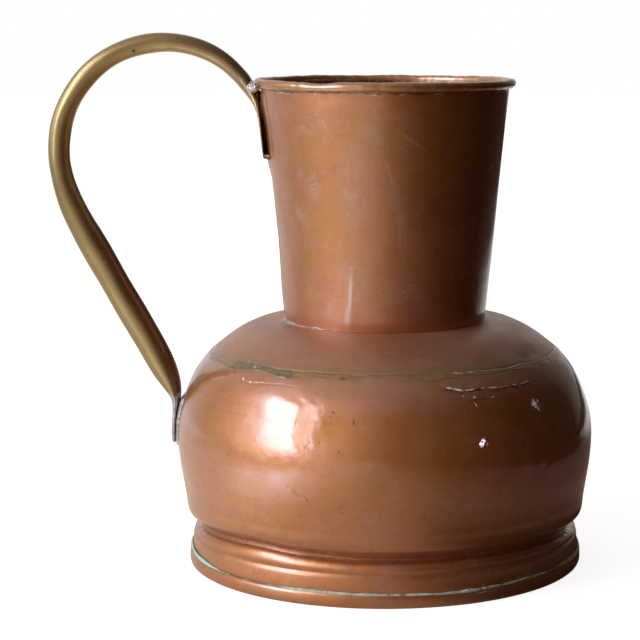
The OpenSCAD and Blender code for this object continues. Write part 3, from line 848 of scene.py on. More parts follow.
BODY_DENTS = [
    # crumpled spots beside the window's reflection
    (-24.0, 92.6, 4.5, 1.6, -18, -0.16), (-20.3, 91.0, 5.0, 1.1, -28, 0.17), (-17.6, 88.4, 4.2, 1.5, -40, -0.15),
    (-17.0, 84.5, 1.8, 4.2, 10, 0.09), (-20.6, 81.0, 1.3, 5.0, 5, -0.09), (-19.6, 77.0, 1.6, 4.0, 12, 0.08),
    (-27.5, 83.5, 2.4, 3.0, 0, -0.05), (-25.0, 76.0, 4.0, 2.0, 0, 0.04), (-30.0, 92.0, 4.0, 2.0, 0, 0.05),
    # small pressed marks on the right
    (26.0, 74.6, 3.4, 1.3, 38, 0.035), (24.7, 64.3, 1.3, 0.9, 0, 0.07), (45.5, 73.5, 2.6, 7.0, 10, -0.08),
    (47.2, 81.1, 1.8, 3.6, -15, 0.05), (51.6, 70.1, 6.0, 5.0, 20, -0.35), (50.5, 61.5, 4.5, 2.6, 30, 0.16),
    (47.0, 60.0, 3.0, 1.3, 35, -0.12), (60.0, 84.0, 5.0, 8.0, -10, -0.25), (60.0, 91.0, 3.0, 2.0, 0, 0.12),
    (66.0, 66.0, 6.0, 10.0, 15, 0.22), (38.5, 71.0, 0.8, 3.0, 0, 0.05), (31.4, 38.2, 0.8, 0.8, 0, -0.06),
    (25.9, 90.2, 0.9, 2.0, 20, -0.10), (23.2, 94.6, 1.1, 0.7, 0, -0.11), (26.3, 93.9, 1.3, 0.7, 0, 0.11), (32.7, 93.0, 1.3, 0.7, 0, -0.11),
    (-25.6, 54.8, 0.8, 0.5, 60, -0.08), (-23.4, 52.5, 1.6, 0.5, -66, -0.10), (-20.4, 49.9, 2.0, 0.5, -58, -0.10),
    (-8.5, 85.0, 0.9, 2.4, 12, 0.05), (-11.5, 71.8, 0.9, 0.6, 70, -0.06), (-17.0, 75.8, 0.8, 0.6, 70, -0.06),
    # the sides and the back have their own
    (100, 60, 9, 7, 0, -0.30), (118, 82, 5, 6, 20, 0.18), (140, 50, 7, 5, 0, -0.22), (165, 74, 9, 6, 30, -0.26),
    (-150, 64, 8, 9, 0, -0.24), (-118, 78, 6, 5, 0, 0.16), (-100, 48, 8, 5, 0, -0.2), (-172, 44, 6, 4, 0, 0.14),
]


def seam_lift(th):
    """The groove above the foot wanders up and down by a couple of millimetres."""
    return through([(-90, -2.9), (-72, -0.8), (-50, 1.4), (-36, 2.1), (-22, 1.0), (-8, 0.2), (5, 0.2), (30, 0.2), (55, -0.5),
                    (75, -1.9), (90, -2.8), (125, -1.0), (180, 0.2), (-130, -1.0)], np.degrees(th)) + 0.08 * jag_b(th)


def neck_flat(deg, z):
    """The neck is drawn in a little on the handle's side, below the patch."""
    e = (deg + 90 + 180) % 360 - 180
    return -1.15 * np.exp(-0.5 * (e / 26.0) ** 2) * smooth(z, 124, 160) * (1 - smooth(z, 184, 193.5))


def lap_line(th):
    """Height of the bowl's hidden lap edge that shows as a step below the braze."""
    d = np.degrees(th)
    z = through([(-54, 98.7), (-46.5, 97.3), (-38, 98.0), (-26.5, 98.1), (-20, 96.4), (0, 97.5), (17.5, 98.2), (23.3, 96.5),
                 (31, 97.1), (39, 96.5), (48.5, 97.1), (90, 97.4), (140, 98), (-140, 98), (-90, 98.2)], d)
    return z + 0.13 * jag_c(th)


def lap_strength(th):
    d = (np.degrees(th) + 180) % 360 - 180
    s = window(d, -54, -27, 4.0) * 0.22 + window(d, 17.0, 48.5, 2.0) + 0.7 * window(d, 96, 132, 4) + 0.7 * window(d, -150, -108, 4)
    return np.clip(s, 0, 1) * np.clip(0.85 + 0.25 * jag_b(th), 0.3, 1.4)


def bowl_disp(th, z):
    fade = smooth(z, 21.4, 28.5)
    dn = fade * (0.085 * wave_body(th, z) + 0.012 * wave_fine(th, z)) + bumps(BODY_DENTS, th, z)
    zl = lap_line(th)
    step = smooth(z, zl - 0.16, zl + 0.12) * (1 - smooth(z, zl + 0.5, zl + 3.6))
    under = np.exp(-0.5 * ((z - (zl - 0.45)) / 0.26) ** 2)
    dn = dn + lap_strength(th) * (0.22 * step - 0.16 * under)
    # the top edge is hammered down towards the shoulder
    dn = dn + 0.10 * jag_b(th) * smooth(z, 100.6, 103.0) - 0.12 * smooth(z, 101.6, 103.0)
    return dn, seam_lift(th) * (1 - smooth(z, 22.0, 40.0)) + 0.0 * dn


def shoulder_disp(th, z):
    dn = 0.07 * wave_body(th, z) + 0.010 * wave_fine(th, z)
    dn = dn * (1 - smooth(z, 116.6, 117.3))
    dn = dn + bumps([(48, 110, 7, 2.0, 0, -0.25), (62, 111.5, 9, 1.6, 20, 0.22), (-62, 107, 8, 2.5, 0, 0.10),
                     (60, 106, 8, 2.0, 0, -0.3), (150, 109, 9, 2.2, 0, -0.2), (-130, 108, 9, 2.2, 0, 0.18)], th, z)
    return dn, 0.0 * dn


def foot_disp(th, z):
    dn = 0.10 * noise1(31, 1, 7, 7, 0.4)(th) + 0.020 * wave_fine(th, z) + 0.035 * noise1(32, 8, 40, 20, 0.4)(th)
    dn = dn * smooth(z, 2.0, 8.0) * (1 - smooth(z, 18.6, 20.4))
    dn = dn + bumps([(-46, 12.6, 5, 1.4, 0, -0.14), (-30, 18.2, 7, 0.9, 0, -0.08), (70, 16, 6, 2.4, 0, -0.22),
                     (120, 12, 8, 3, 0, -0.2), (-140, 10, 9, 3, 0, -0.18), (27, 15.2, 1.0, 0.8, 0, -0.12)], th, z)
    dz = 0.15 * noise1(33, 1, 5, 5, 0.4)(th) * smooth(z, 7.0, 12.0) * (1 - smooth(z, 18.5, 20.4)) + seam_lift(th) * smooth(z, 13.5, 19.8) + 0.0 * z
    return dn, dz


def make_vessel():
    P = resample(SHOULDER, 1.1)
    lap_in = BOWL[:58]
    N = normals(lap_in)
    lap = resample(lap_in - N * (SHEET + 0.02), 1.2)
    P = np.concatenate([P, lap[1:]])
    ob = shell("shoulder_shell", P, 0.9, 600, MAT["shoulder"], shoulder_disp, 50)
    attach(ob, "root"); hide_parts("shoulder")

    path = np.concatenate([BOWL, [[87.9, 20.7], [87.9, 20], [87.9, 18], [87.9, 16]]])
    P = resample(path, lambda q: 0.24 if 95.2 < q[1] < 99.6 else (0.5 if q[1] > 93 else (0.7 if q[1] < 33 else 1.15)))
    ob = shell("bowl_shell", P, SHEET, 840, MAT["bowl"], bowl_disp, 50, inner_step=3)
    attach(ob, "root"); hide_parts("bowl")

    P = resample(FOOT, 0.42)
    ob = shell("foot_ring_shell", P, SHEET, 720, MAT["foot"], foot_disp, 50, inner_step=2)
    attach(ob, "root"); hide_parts("foot_ring")


def make_neck():
    M = 720
    th = np.arange(M) * 2 * PI / M - PI
    d = np.degrees(th)
    z0 = 113.5
    zs = np.concatenate([np.arange(z0, 119.5, 1.5), np.linspace(119.5, 227.4, 78)])

    def wall(z):
        """Push of the neck's wall at angles th and heights z."""
        Z = z[:, None] + 0 * th[None, :]
        T = th[None, :] + 0 * Z
        D = (np.degrees(T) + 180) % 360 - 180
        dn = 0.07 * wave_neck(T, Z) + 0.010 * wave_neck_fine(T, Z)
        # a shallow crease that runs up from the joint
        line = -20.6 + (Z - 119.0) * 0.105
        crease = (D - line) * PI / 180 * 50
        dn = dn + 0.16 * np.exp(-np.abs(crease) / 2.6) * smooth(Z, 160, 135)
        dn = dn - 0.05 * np.exp(-0.5 * ((crease - 4.5) / 2.2) ** 2) * smooth(Z, 165, 130)
        dn = dn + bumps([(7.5, 163, 2.2, 6.0, 5, -0.06), (16.5, 173.5, 4.0, 1.2, 48, 0.05), (-45, 189, 6, 5, 0, -0.08),
                         (-5, 205, 7, 4, 0, -0.05), (60, 150, 9, 18, 0, 0.10), (140, 170, 10, 14, 0, -0.18),
                         (-120, 180, 9, 12, 0, -0.12), (-34, 122.5, 5, 2.4, 0, -0.10), (-22, 123, 4, 2.6, 0, 0.08)], T, Z, 52)
        dn = dn * smooth(Z, 117.0, 121.0) * (1 - smooth(Z, 222.0, 227.5))
        return dn + neck_flat(D, Z)

    # rim roll
    roll = 2.1 + 0.10 * noise1(41, 3, 26, 16, 0.3)(th) + 0.04 * noise1(42, 30, 90, 30, 0.2)(th)
    roll = roll - 0.16 * smooth(np.abs(d + 30), 9, 0) + 0.12 * smooth(np.abs(d + 56), 16, 0)
    roll = np.minimum(roll, 2.34)
    dip = -0.40 * np.exp(-0.5 * ((d + 31) / 5.5) ** 2) + 0.12 * np.exp(-0.5 * ((d + 47) / 9) ** 2) - 0.22 * np.exp(-0.5 * ((d - 15) / 9) ** 2)
    dip = dip + 0.10 * noise1(43, 2, 12, 10, 0.4)(th)
    dip = np.minimum(dip, 0.2)
    cr = 60.15 + 0.10 * noise1(44, 2, 14, 12, 0.4)(th)
    cz = 230.0 + dip
    end = -114 + 10 * jag_c(th) + 7 * noise1(45, 6, 30, 16, 0.2)(th)
    end = np.clip(end, -134, -84)
    wire = roll - 0.95

    rows_r, rows_z = [], []

    def put(r, z):
        rows_r.append(r + 0 * th)
        rows_z.append(z + 0 * th)

    w = wall(zs)
    zi = zs[::2]
    wi = w[::2]
    # inside wall, upwards
    for k, z in enumerate(zi):
        put(rn(z) - SHEET + wi[k], z)
    start = np.linspace(0, 1, 4)[1:]
    for t in start:
        put((1 - t) * (rn(zi[-1]) - SHEET) + t * (cr - roll), (1 - t) * zi[-1] + t * (cz - 0.35))
    # over the top, round the outside and under, to a ragged edge
    ragged = noise1(46, 36, 300, 70, 0.25)(th) * 0.11 + noise1(47, 12, 60, 30, 0.4)(th) * 0.07
    for k in range(48):
        deg = 180 + (end - 180) * k / 47
        a = np.radians(deg)
        rr = roll + np.clip(ragged, -0.3, 0.26) * smooth(-deg, 48, 78)
        put(cr + rr * np.cos(a), cz + rr * np.sin(a))
    # blunt raw edge
    a = np.radians(end - 6)
    put(cr + (roll - 0.45) * np.cos(a), cz + (roll - 0.45) * np.sin(a))
    # back along the inside of the roll
    for k in range(20):
        a = np.radians(end + (195 - end) * k / 19)
        put(cr + wire * np.cos(a), cz + wire * np.sin(a))
    # outside wall, downwards
    for k in range(len(zs) - 1, -1, -1):
        put(rn(zs[k]) + w[k], zs[k])
    put(rn(z0) - 0.5 * SHEET, z0 - 0.25)
    R, Z = np.array(rows_r), np.array(rows_z)
    ob = turned("neck_shell", R, Z, th, MAT["neck"], True, 42)
    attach(ob, "root"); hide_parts("neck")


def ribbon(name, th, centre_r, centre_z, nr, nz, half_w, height, material, sections=9, skirt=0.35, dent=0.7):
    """A bead laid along a joint: per angle a centre, a half-width along the slope and a crown height. The edges dive into the sheet."""
    M = len(th)
    tr, tz = nz, -nr
    rows_r, rows_z = [], []
    for k in range(sections):
        s = -1 + 2 * k / (sections - 1)
        w = half_w[0] if s < 0 else half_w[1]
        h = height * ((1 - s * s) ** 0.8 - dent * math.exp(-((s - 0.1) / 0.3) ** 2)) - 0.06 * abs(s)
        rows_r.append(centre_r + tr * s * w + nr * h)
        rows_z.append(centre_z + tz * s * w + nz * h)
    for s in (1.0, 0.0, -1.0):
        w = half_w[0] if s < 0 else half_w[1]
        rows_r.append(centre_r + tr * s * w * 0.92 - nr * skirt)
        rows_z.append(centre_z + tz * s * w * 0.92 - nz * skirt)
    R, Z = np.array(rows_r), np.array(rows_z)
    return turned(name, R, Z, th, material, True, 60)


def make_seams():
    M = 1440
    th = np.arange(M) * 2 * PI / M - PI
    d = np.degrees(th)
    # brazed joint between shoulder and bowl
    top = through([(-59, 104.7), (-49, 104.8), (-42, 104.2), (-35, 103.6), (-27, 104.0), (-17, 103.8), (-7, 103.7), (5, 104.2),
                   (19, 104.4), (26, 103.8), (34, 103.7), (43, 103.6), (49, 104.2), (57, 104.3), (90, 104), (140, 104.2), (-140, 104), (-95, 104.4)], d)
    bot = through([(-56, 101.2), (-46, 101.9), (-40, 101.5), (-33, 100.8), (-26, 101.4), (-17, 101.4), (-7, 101.9), (5, 101.5),
                   (18, 101.7), (25, 101.9), (33, 102.2), (43, 102.5), (50, 101.6), (57, 101.4), (90, 101.8), (140, 101.4), (-140, 101.7), (-95, 101.5)], d)
    top = top + 0.16 * jag_a(th) + 0.07 * jag_c(th)
    bot = bot + 0.20 * jag_b(th) - 0.06 * jag_c(th)
    ridge = 0.11 + 0.20 * window(d, -57, -31, 2) + 0.06 * window(d, 18, 50, 3)
    ridge = ridge * np.clip(1 + 0.22 * jag_c(th) + 0.2 * jag_b(th), 0.3, 1.6) * (1 - 0.7 * window(d, 52, 90, 4))
    mid = 103.5
    # point on the joint's slope at height z: the straight line between the two sheets' edges
    nr, nz = 0.62, 0.785
    cz = 0.5 * (top + bot)
    cr = 82.1 + (103.6 - cz) * 1.14
    ob = ribbon("shoulder_braze_band", th, cr, cz, nr, nz, ((top - cz) / nr, (cz - bot) / nr), ridge, MAT["braze"], 13, 1.1)
    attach(ob, "root"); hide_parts("shoulder_braze")

    # soft solder at the foot of the neck, thick only on the left
    amount = 0.16 + 0.95 * window(d, -86, -40, 7) * np.clip(0.75 + 0.35 * jag_b(th), 0.1, 1.6) + 0.5 * window(d, -178, -95, 12) + 0.25 * window(d, 100, 176, 12)
    amount = np.clip(amount * np.clip(1 + 0.2 * jag_a(th), 0.3, 2), 0.10, 1.5)
    base_r, base_z = rn(JOINT_Z), JOINT_Z
    rows_r, rows_z = [], []
    for k in range(7):
        a = PI / 2 * k / 6
        # concave fillet from the neck's wall to the shoulder
        rows_r.append(base_r + 0.02 + amount * (1 - math.sin(a)) * 1.9)
        rows_z.append(base_z - 0.03 + amount * (1 - math.cos(a)) * 1.15)
    rows_r.append(base_r - 0.4 + 0 * th)
    rows_z.append(base_z + 0.5 * amount)
    rows_r.append(base_r - 0.4 + 0 * th)
    rows_z.append(base_z - 0.4 + 0 * th)
    rows_r.append(base_r + 0.8 * amount)
    rows_z.append(base_z - 0.4 + 0 * th)
    ob = turned("neck_solder_fillet", np.array(rows_r), np.array(rows_z), th, MAT["neck_solder"], True, 60)
    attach(ob, "root"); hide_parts("neck_solder")

    # dirt-dark solder in the groove above the foot
    am = np.clip(1 + 0.35 * jag_a(th), 0.4, 1.8)
    up = seam_lift(th)
    full = 0.25 + 0.75 * window(d, -78, -22, 9)
    f = full * (0.92 + 0.08 * am)
    R = np.array([88.2 + 0 * th, 88.6 + 1.45 * f, 88.95 + 0.95 * f, 89.02 + 0.72 * f, 88.98 + 0.74 * f, 88.75 + 1.10 * f, 88.3 + 0 * th])
    Z = np.array([20.2 + up, 20.35 - 0.35 * f + up, 20.62 - 0.10 * f + up, 20.95 + 0.10 * f + up, 21.35 + 0.25 * f + up, 21.55 + 0.75 * f + up, 21.1 + up])
    ob = turned("foot_solder_bead", R, Z, th, MAT["solder_dark"], True, 60)
    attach(ob, "root"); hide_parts("foot_solder")

    # hem of the base plate, folded up round the foot
    hem = 5.5 + 1.9 * (1 - np.cos(th)) * 0.9
    hem = np.minimum(hem, 7.9) + 0.05 * jag_b(th) + 0.20 * noise1(51, 3, 12, 10, 0.4)(th)
    wob = 0.10 * noise1(52, 2, 18, 14, 0.4)(th)
    prof = [
        (94.0, 0.80, 0), (94.15, 2.2, 0), (94.10, 3.4, 0), (93.95, 0.0, 1), (94.05, 0.35, 1), (94.45, 0.42, 1), (94.75, 0.05, 1),
        (94.95, -0.9, 1), (95.05, 3.2, 0), (95.08, 2.2, 0), (95.0, 1.2, 0), (94.8, 0.55, 0), (94.4, 0.18, 0), (93.6, 0.02, 0),
    ]
    rows_r, rows_z = [], []
    for r, z, rel in prof:
        rows_r.append(r + wob * (1 if z > 1.0 or rel else 0.3) + 0 * th)
        rows_z.append((hem + z) if rel else z + 0 * th)
    for r in (93.0, 90, 80, 65, 50, 35, 20, 8, 2):
        rows_r.append(r + 0 * th)
        rows_z.append(0.0 * th)
    for r in (2, 8, 20, 35, 50, 65, 80, 90, 93.2):
        rows_r.append(r + 0 * th)
        rows_z.append(BASE_T + 0.03 * math.sin(r) * (r < 90) + 0 * th)
    R, Z = np.array(rows_r)[:, ::2], np.array(rows_z)[:, ::2]
    t2 = th[::2]
    K, M2 = R.shape
    V = np.stack([R * np.sin(t2), -R * np.cos(t2), Z], -1).reshape(-1, 3)
    faces = grid_faces(K, M2, True, True)
    lo = len(prof) + 8
    faces = [f for f in faces if not (f[0] // M2 == lo and f[2] // M2 == lo + 1)]
    n0 = len(V)
    V = np.concatenate([V, [[0, 0, 0], [0, 0, BASE_T]]])
    for i in range(M2):
        j = (i + 1) % M2
        faces.append((lo * M2 + i, lo * M2 + j, n0))
        faces.append(((lo + 1) * M2 + j, (lo + 1) * M2 + i, n0 + 1))
    ob = mesh_object("base_plate_hemmed", V, faces, MAT["base"], 40)
    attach(ob, "root"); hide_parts("base_plate")

    # solder and verdigris along the top of the hem
    fat = 0.50 + 0.55 * window((d + 180) % 360 - 180, -92, -58, 5) + 0.28 * window(d, -34, 44, 8)
    fat = np.clip(fat * np.clip(1 + 0.16 * jag_b(th), 0.5, 1.5), 0.14, 1.15)
    zc = hem + 0.62
    rc = 94.02 + wob
    rows_r, rows_z = [], []
    for k in range(12):
        a = 2 * PI * k / 12
        rows_r.append(rc + fat * 0.62 * math.cos(a))
        rows_z.append(zc + fat * (1.0 if math.sin(a) > 0 else 0.8) * math.sin(a))
    ob = turned("base_verdigris_line", np.array(rows_r), np.array(rows_z), th, MAT["verdigris"], True, 70)
    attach(ob, "root"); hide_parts("base_solder")


# ---------------------------------------------------------------------------
# Handle: one brass tube, flat at both ends
# ---------------------------------------------------------------------------
STATIONS = [
    [-57.05, 196, 0.6, 15, 0], [-57.4, 199, 0.65, 16, 0], [-58.05, 205, 0.65, 16, 0],
    [-58.9, 212, 0.8, 14.8, 0], [-59.9, 217, 1.2, 12, 0], [-61.3, 221.5, 2.0, 9, 0],
    [-63.75, 226, 2.8, 6.8, 0], [-66.4, 230.3, 3.5, 5.4, 0], [-69.4, 233.9, 3.75, 4.4, 0],
    [-75.5, 239.6, 3.95, 4.1, 0], [-82.7, 244.2, 4.1, 4.2, 0], [-90.8, 247.3, 4.25, 4.3, 0],
    [-99.3, 248.9, 4.4, 4.4, 0], [-107.9, 249, 4.55, 4.55, 0], [-116.5, 247.7, 4.6, 4.6, 0],
    [-124.8, 245, 4.65, 4.65, 0], [-132.4, 240.9, 4.8, 4.8, 0], [-138.9, 235.7, 4.9, 4.9, 0],
    [-144.5, 229.5, 5, 5, 0], [-149.7, 221.5, 5.05, 5.05, 0], [-153.4, 212.5, 5.1, 5.1, 0],
    [-155.3, 203, 5.1, 5.1, 0], [-155.5, 194, 5.2, 5.2, 0], [-154.2, 186, 5.3, 5.3, 0],
    [-152.1, 178.3, 5.6, 5.5, 0], [-149.2, 170.5, 6.1, 5.9, 0], [-145.4, 162.7, 6.5, 6.3, 0],
    [-141.2, 155, 6.8, 6.5, 0], [-134.9, 143.5, 6.88, 6.6, 0], [-126.3, 128.1, 6.87, 6.6, 0],
    [-117.7, 112.7, 6.85, 6.6, 0], [-113.3, 105, 6.75, 6.6, 0], [-109.3, 97.4, 6.45, 6.7, 0],
    [-106.3, 91.2, 5.85, 6.9, 0], [-104, 86.2, 4.9, 7.1, 0.2], [-102.4, 82, 3.7, 7.4, 0.5],
    [-101.5, 78.2, 2.4, 7.9, 0.8], [-101.6, 74.2, 1.5, 8.3, 1], [-101.95, 70, 1.15, 8.5, 1],
    [-102.45, 64, 1.1, 8.5, 1], [-102.45, 60, 1.1, 8.3, 1], [-102.2, 57.6, 0.9, 7.6, 1],
]


def make_handle():
    S = catmull(STATIONS, 7)
    n = len(S)
    sides = 44
    seg = np.sqrt(((S[1:, :2] - S[:-1, :2]) ** 2).sum(1))
    s = np.concatenate([[0], np.cumsum(seg)])
    t = np.gradient(S[:, :2], axis=0)
    t = t / np.sqrt((t**2).sum(1, keepdims=True))
    nor = np.stack([-t[:, 1], t[:, 0]], 1)
    g = np.random.default_rng(5)
    w1 = [(g.random() * 0.03 + 0.012, g.random() * 0.18 + 0.05, g.random() * 6.28, g.integers(1, 4)) for _ in range(14)]

    def rings(wall):
        out = np.zeros((n, sides, 3))
        for i in range(n):
            x, z, a, b, w = S[i]
            flat = min(max((2.6 - a) / 1.6, 0), 1)
            e = 1 - 0.35 * flat
            aa = a if wall == 0 else max(a - wall, min(a, 0.12))
            bb = b - wall
            rv = -x - a
            for k in range(sides):
                f = 2 * PI * k / sides
                c, q = math.cos(f), math.sin(f)
                u = aa * math.copysign(abs(c) ** e, c)
                y = bb * math.copysign(abs(q) ** e, q)
                if wall == 0 or True:
                    round_part = 1 - flat
                    wob = sum(A * math.sin(F * s[i] + P + K * f) for A, F, P, K in w1)
                    # lengthwise seam of the tube, on the near side towards the inside of the loop
                    seam = -0.30 * math.exp(-0.5 * ((math.degrees(f) - 232) / 3.4) ** 2)
                    vis = 0.25 + 0.75 * (
                        math.exp(-0.5 * ((s[i] - 150) / 8) ** 2)
                        + math.exp(-0.5 * ((s[i] - 258) / 10) ** 2)
                    )
                    dd = round_part * (wob + (seam * vis if wall == 0 else 0))
                    u += dd * c
                    y += dd * q
                w_ = min(max(w, 0), 1)
                dx = w_ * (rv - math.sqrt(max(rv * rv - y * y, 1)))
                out[i, k] = (x + u * nor[i, 0] + dx, y, z + u * nor[i, 1])
        return out

    A, B = rings(0.0), rings(1.0)
    V = np.concatenate([A.reshape(-1, 3), B.reshape(-1, 3)])
    I = n * sides
    faces = []
    for i in range(n - 1):
        for k in range(sides):
            j = (k + 1) % sides
            faces.append((i * sides + k, i * sides + j, (i + 1) * sides + j, (i + 1) * sides + k))
            faces.append((I + i * sides + j, I + i * sides + k, I + (i + 1) * sides + k, I + (i + 1) * sides + j))
    for k in range(sides):
        j = (k + 1) % sides
        faces.append((j, k, I + k, I + j))
        e = (n - 1) * sides
        faces.append((e + k, e + j, I + e + j, I + e + k))
    ob = mesh_object("handle_tube", V, faces, MAT["brass"], 50)
    # the lower tab is tinned
    ob.data.materials.append(MAT["tinned"])
    zs = np.array([0.0] * len(ob.data.polygons))
    for p in ob.data.polygons:
        c = p.center
        if c.z < 0.0805 + 0.0012 * math.sin(c.y * 900) and c.x < -0.09:
            p.material_index = 1
    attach(ob, "root"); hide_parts("handle")
    return S


def blob(name, centre, size, material, seed, detail=5, rough=0.12, squash=None):
    """An irregular lump of set solder."""
    bm = bmesh.new()
    bmesh.ops.create_icosphere(bm, subdivisions=detail, radius=1.0)
    g = np.random.default_rng(seed)
    waves = [(g.normal(size=3) * (1.5 + 3.5 * g.random()), g.random() * 6.28, 0.5 + g.random()) for _ in range(16)]
    tot = sum(w[2] for w in waves)
    for v in bm.verts:
        p = np.array(v.co)
        f = 1 + rough * 2.2 * sum(a * math.sin(float(k @ p) + ph) for k, ph, a in waves) / math.sqrt(tot) / 2
        q = p * f * np.array(size)
        if squash is not None:
            q = squash(q)
        v.co = Vector((np.array(centre) + q) * MM)
    me = bpy.data.meshes.new(name)
    bm.to_mesh(me)
    bm.free()
    me.polygons.foreach_set("use_smooth", np.ones(len(me.polygons), bool))
    me.materials.append(material)
    ob = bpy.data.objects.new(name, me)
    bpy.context.scene.collection.objects.link(ob)
    return ob


def band(name, z0, z1, half_w, r0, r1, material, corner=2.0, ny=48, nz=40, sheet=None):
    """A thin patch lying on the neck on the handle's side, between radii rn + r0 and rn + r1."""
    edge1, edge2 = noise1(61, 2, 12, 10, 0.3), noise1(62, 2, 12, 10, 0.3)
    top = np.zeros((nz, ny, 3))
    bot = np.zeros((nz, ny, 3))
    for i in range(nz):
        fz = i / (nz - 1)
        z = z0 + (z1 - z0) * fz
        ins = 0.0
        dz = min(z - z0, z1 - z)
        if dz < corner:
            ins = corner - math.sqrt(max(corner**2 - (corner - dz) ** 2, 0))
        for k in range(ny):
            fy = -1 + 2 * k / (ny - 1)
            y = fy * (half_w - ins) + (0.12 * float(edge1(z * 0.2)) if abs(fy) > 0.99 else 0)
            rim = min(half_w - abs(y), dz) if abs(fy) < 1 else 0
            lift = r0 + (r1 - r0) * (0.12 + 0.88 * float(smooth(rim, -0.1, 1.8 if half_w > 5 else 0.5)))
            for arr, off in ((top, lift), (bot, r0)):
                r = rn(z) + off
                a = math.asin(max(min(y / r, 1), -1))
                r = r + float(neck_flat(-90.0 + math.degrees(a), z))
                arr[i, k] = (-r * math.cos(a), r * math.sin(a), z)
    V = np.concatenate([top.reshape(-1, 3), bot.reshape(-1, 3)])
    I = nz * ny
    faces = []
    for i in range(nz - 1):
        for k in range(ny - 1):
            a, b, c, d = i * ny + k, i * ny + k + 1, (i + 1) * ny + k + 1, (i + 1) * ny + k
            faces.append((a, b, c, d))
            faces.append((I + d, I + c, I + b, I + a))
    for i in range(nz - 1):
        for k, flip in ((0, False), (ny - 1, True)):
            a, d = i * ny + k, (i + 1) * ny + k
            f = (a, d, I + d, I + a)
            faces.append(f[::-1] if flip else f)
    for k in range(ny - 1):
        for i, flip in ((0, True), (nz - 1, False)):
            a, b = i * ny + k, i * ny + k + 1
            f = (a, b, I + b, I + a)
            faces.append(f[::-1] if flip else f)
    return mesh_object(name, V, faces, material, 40)


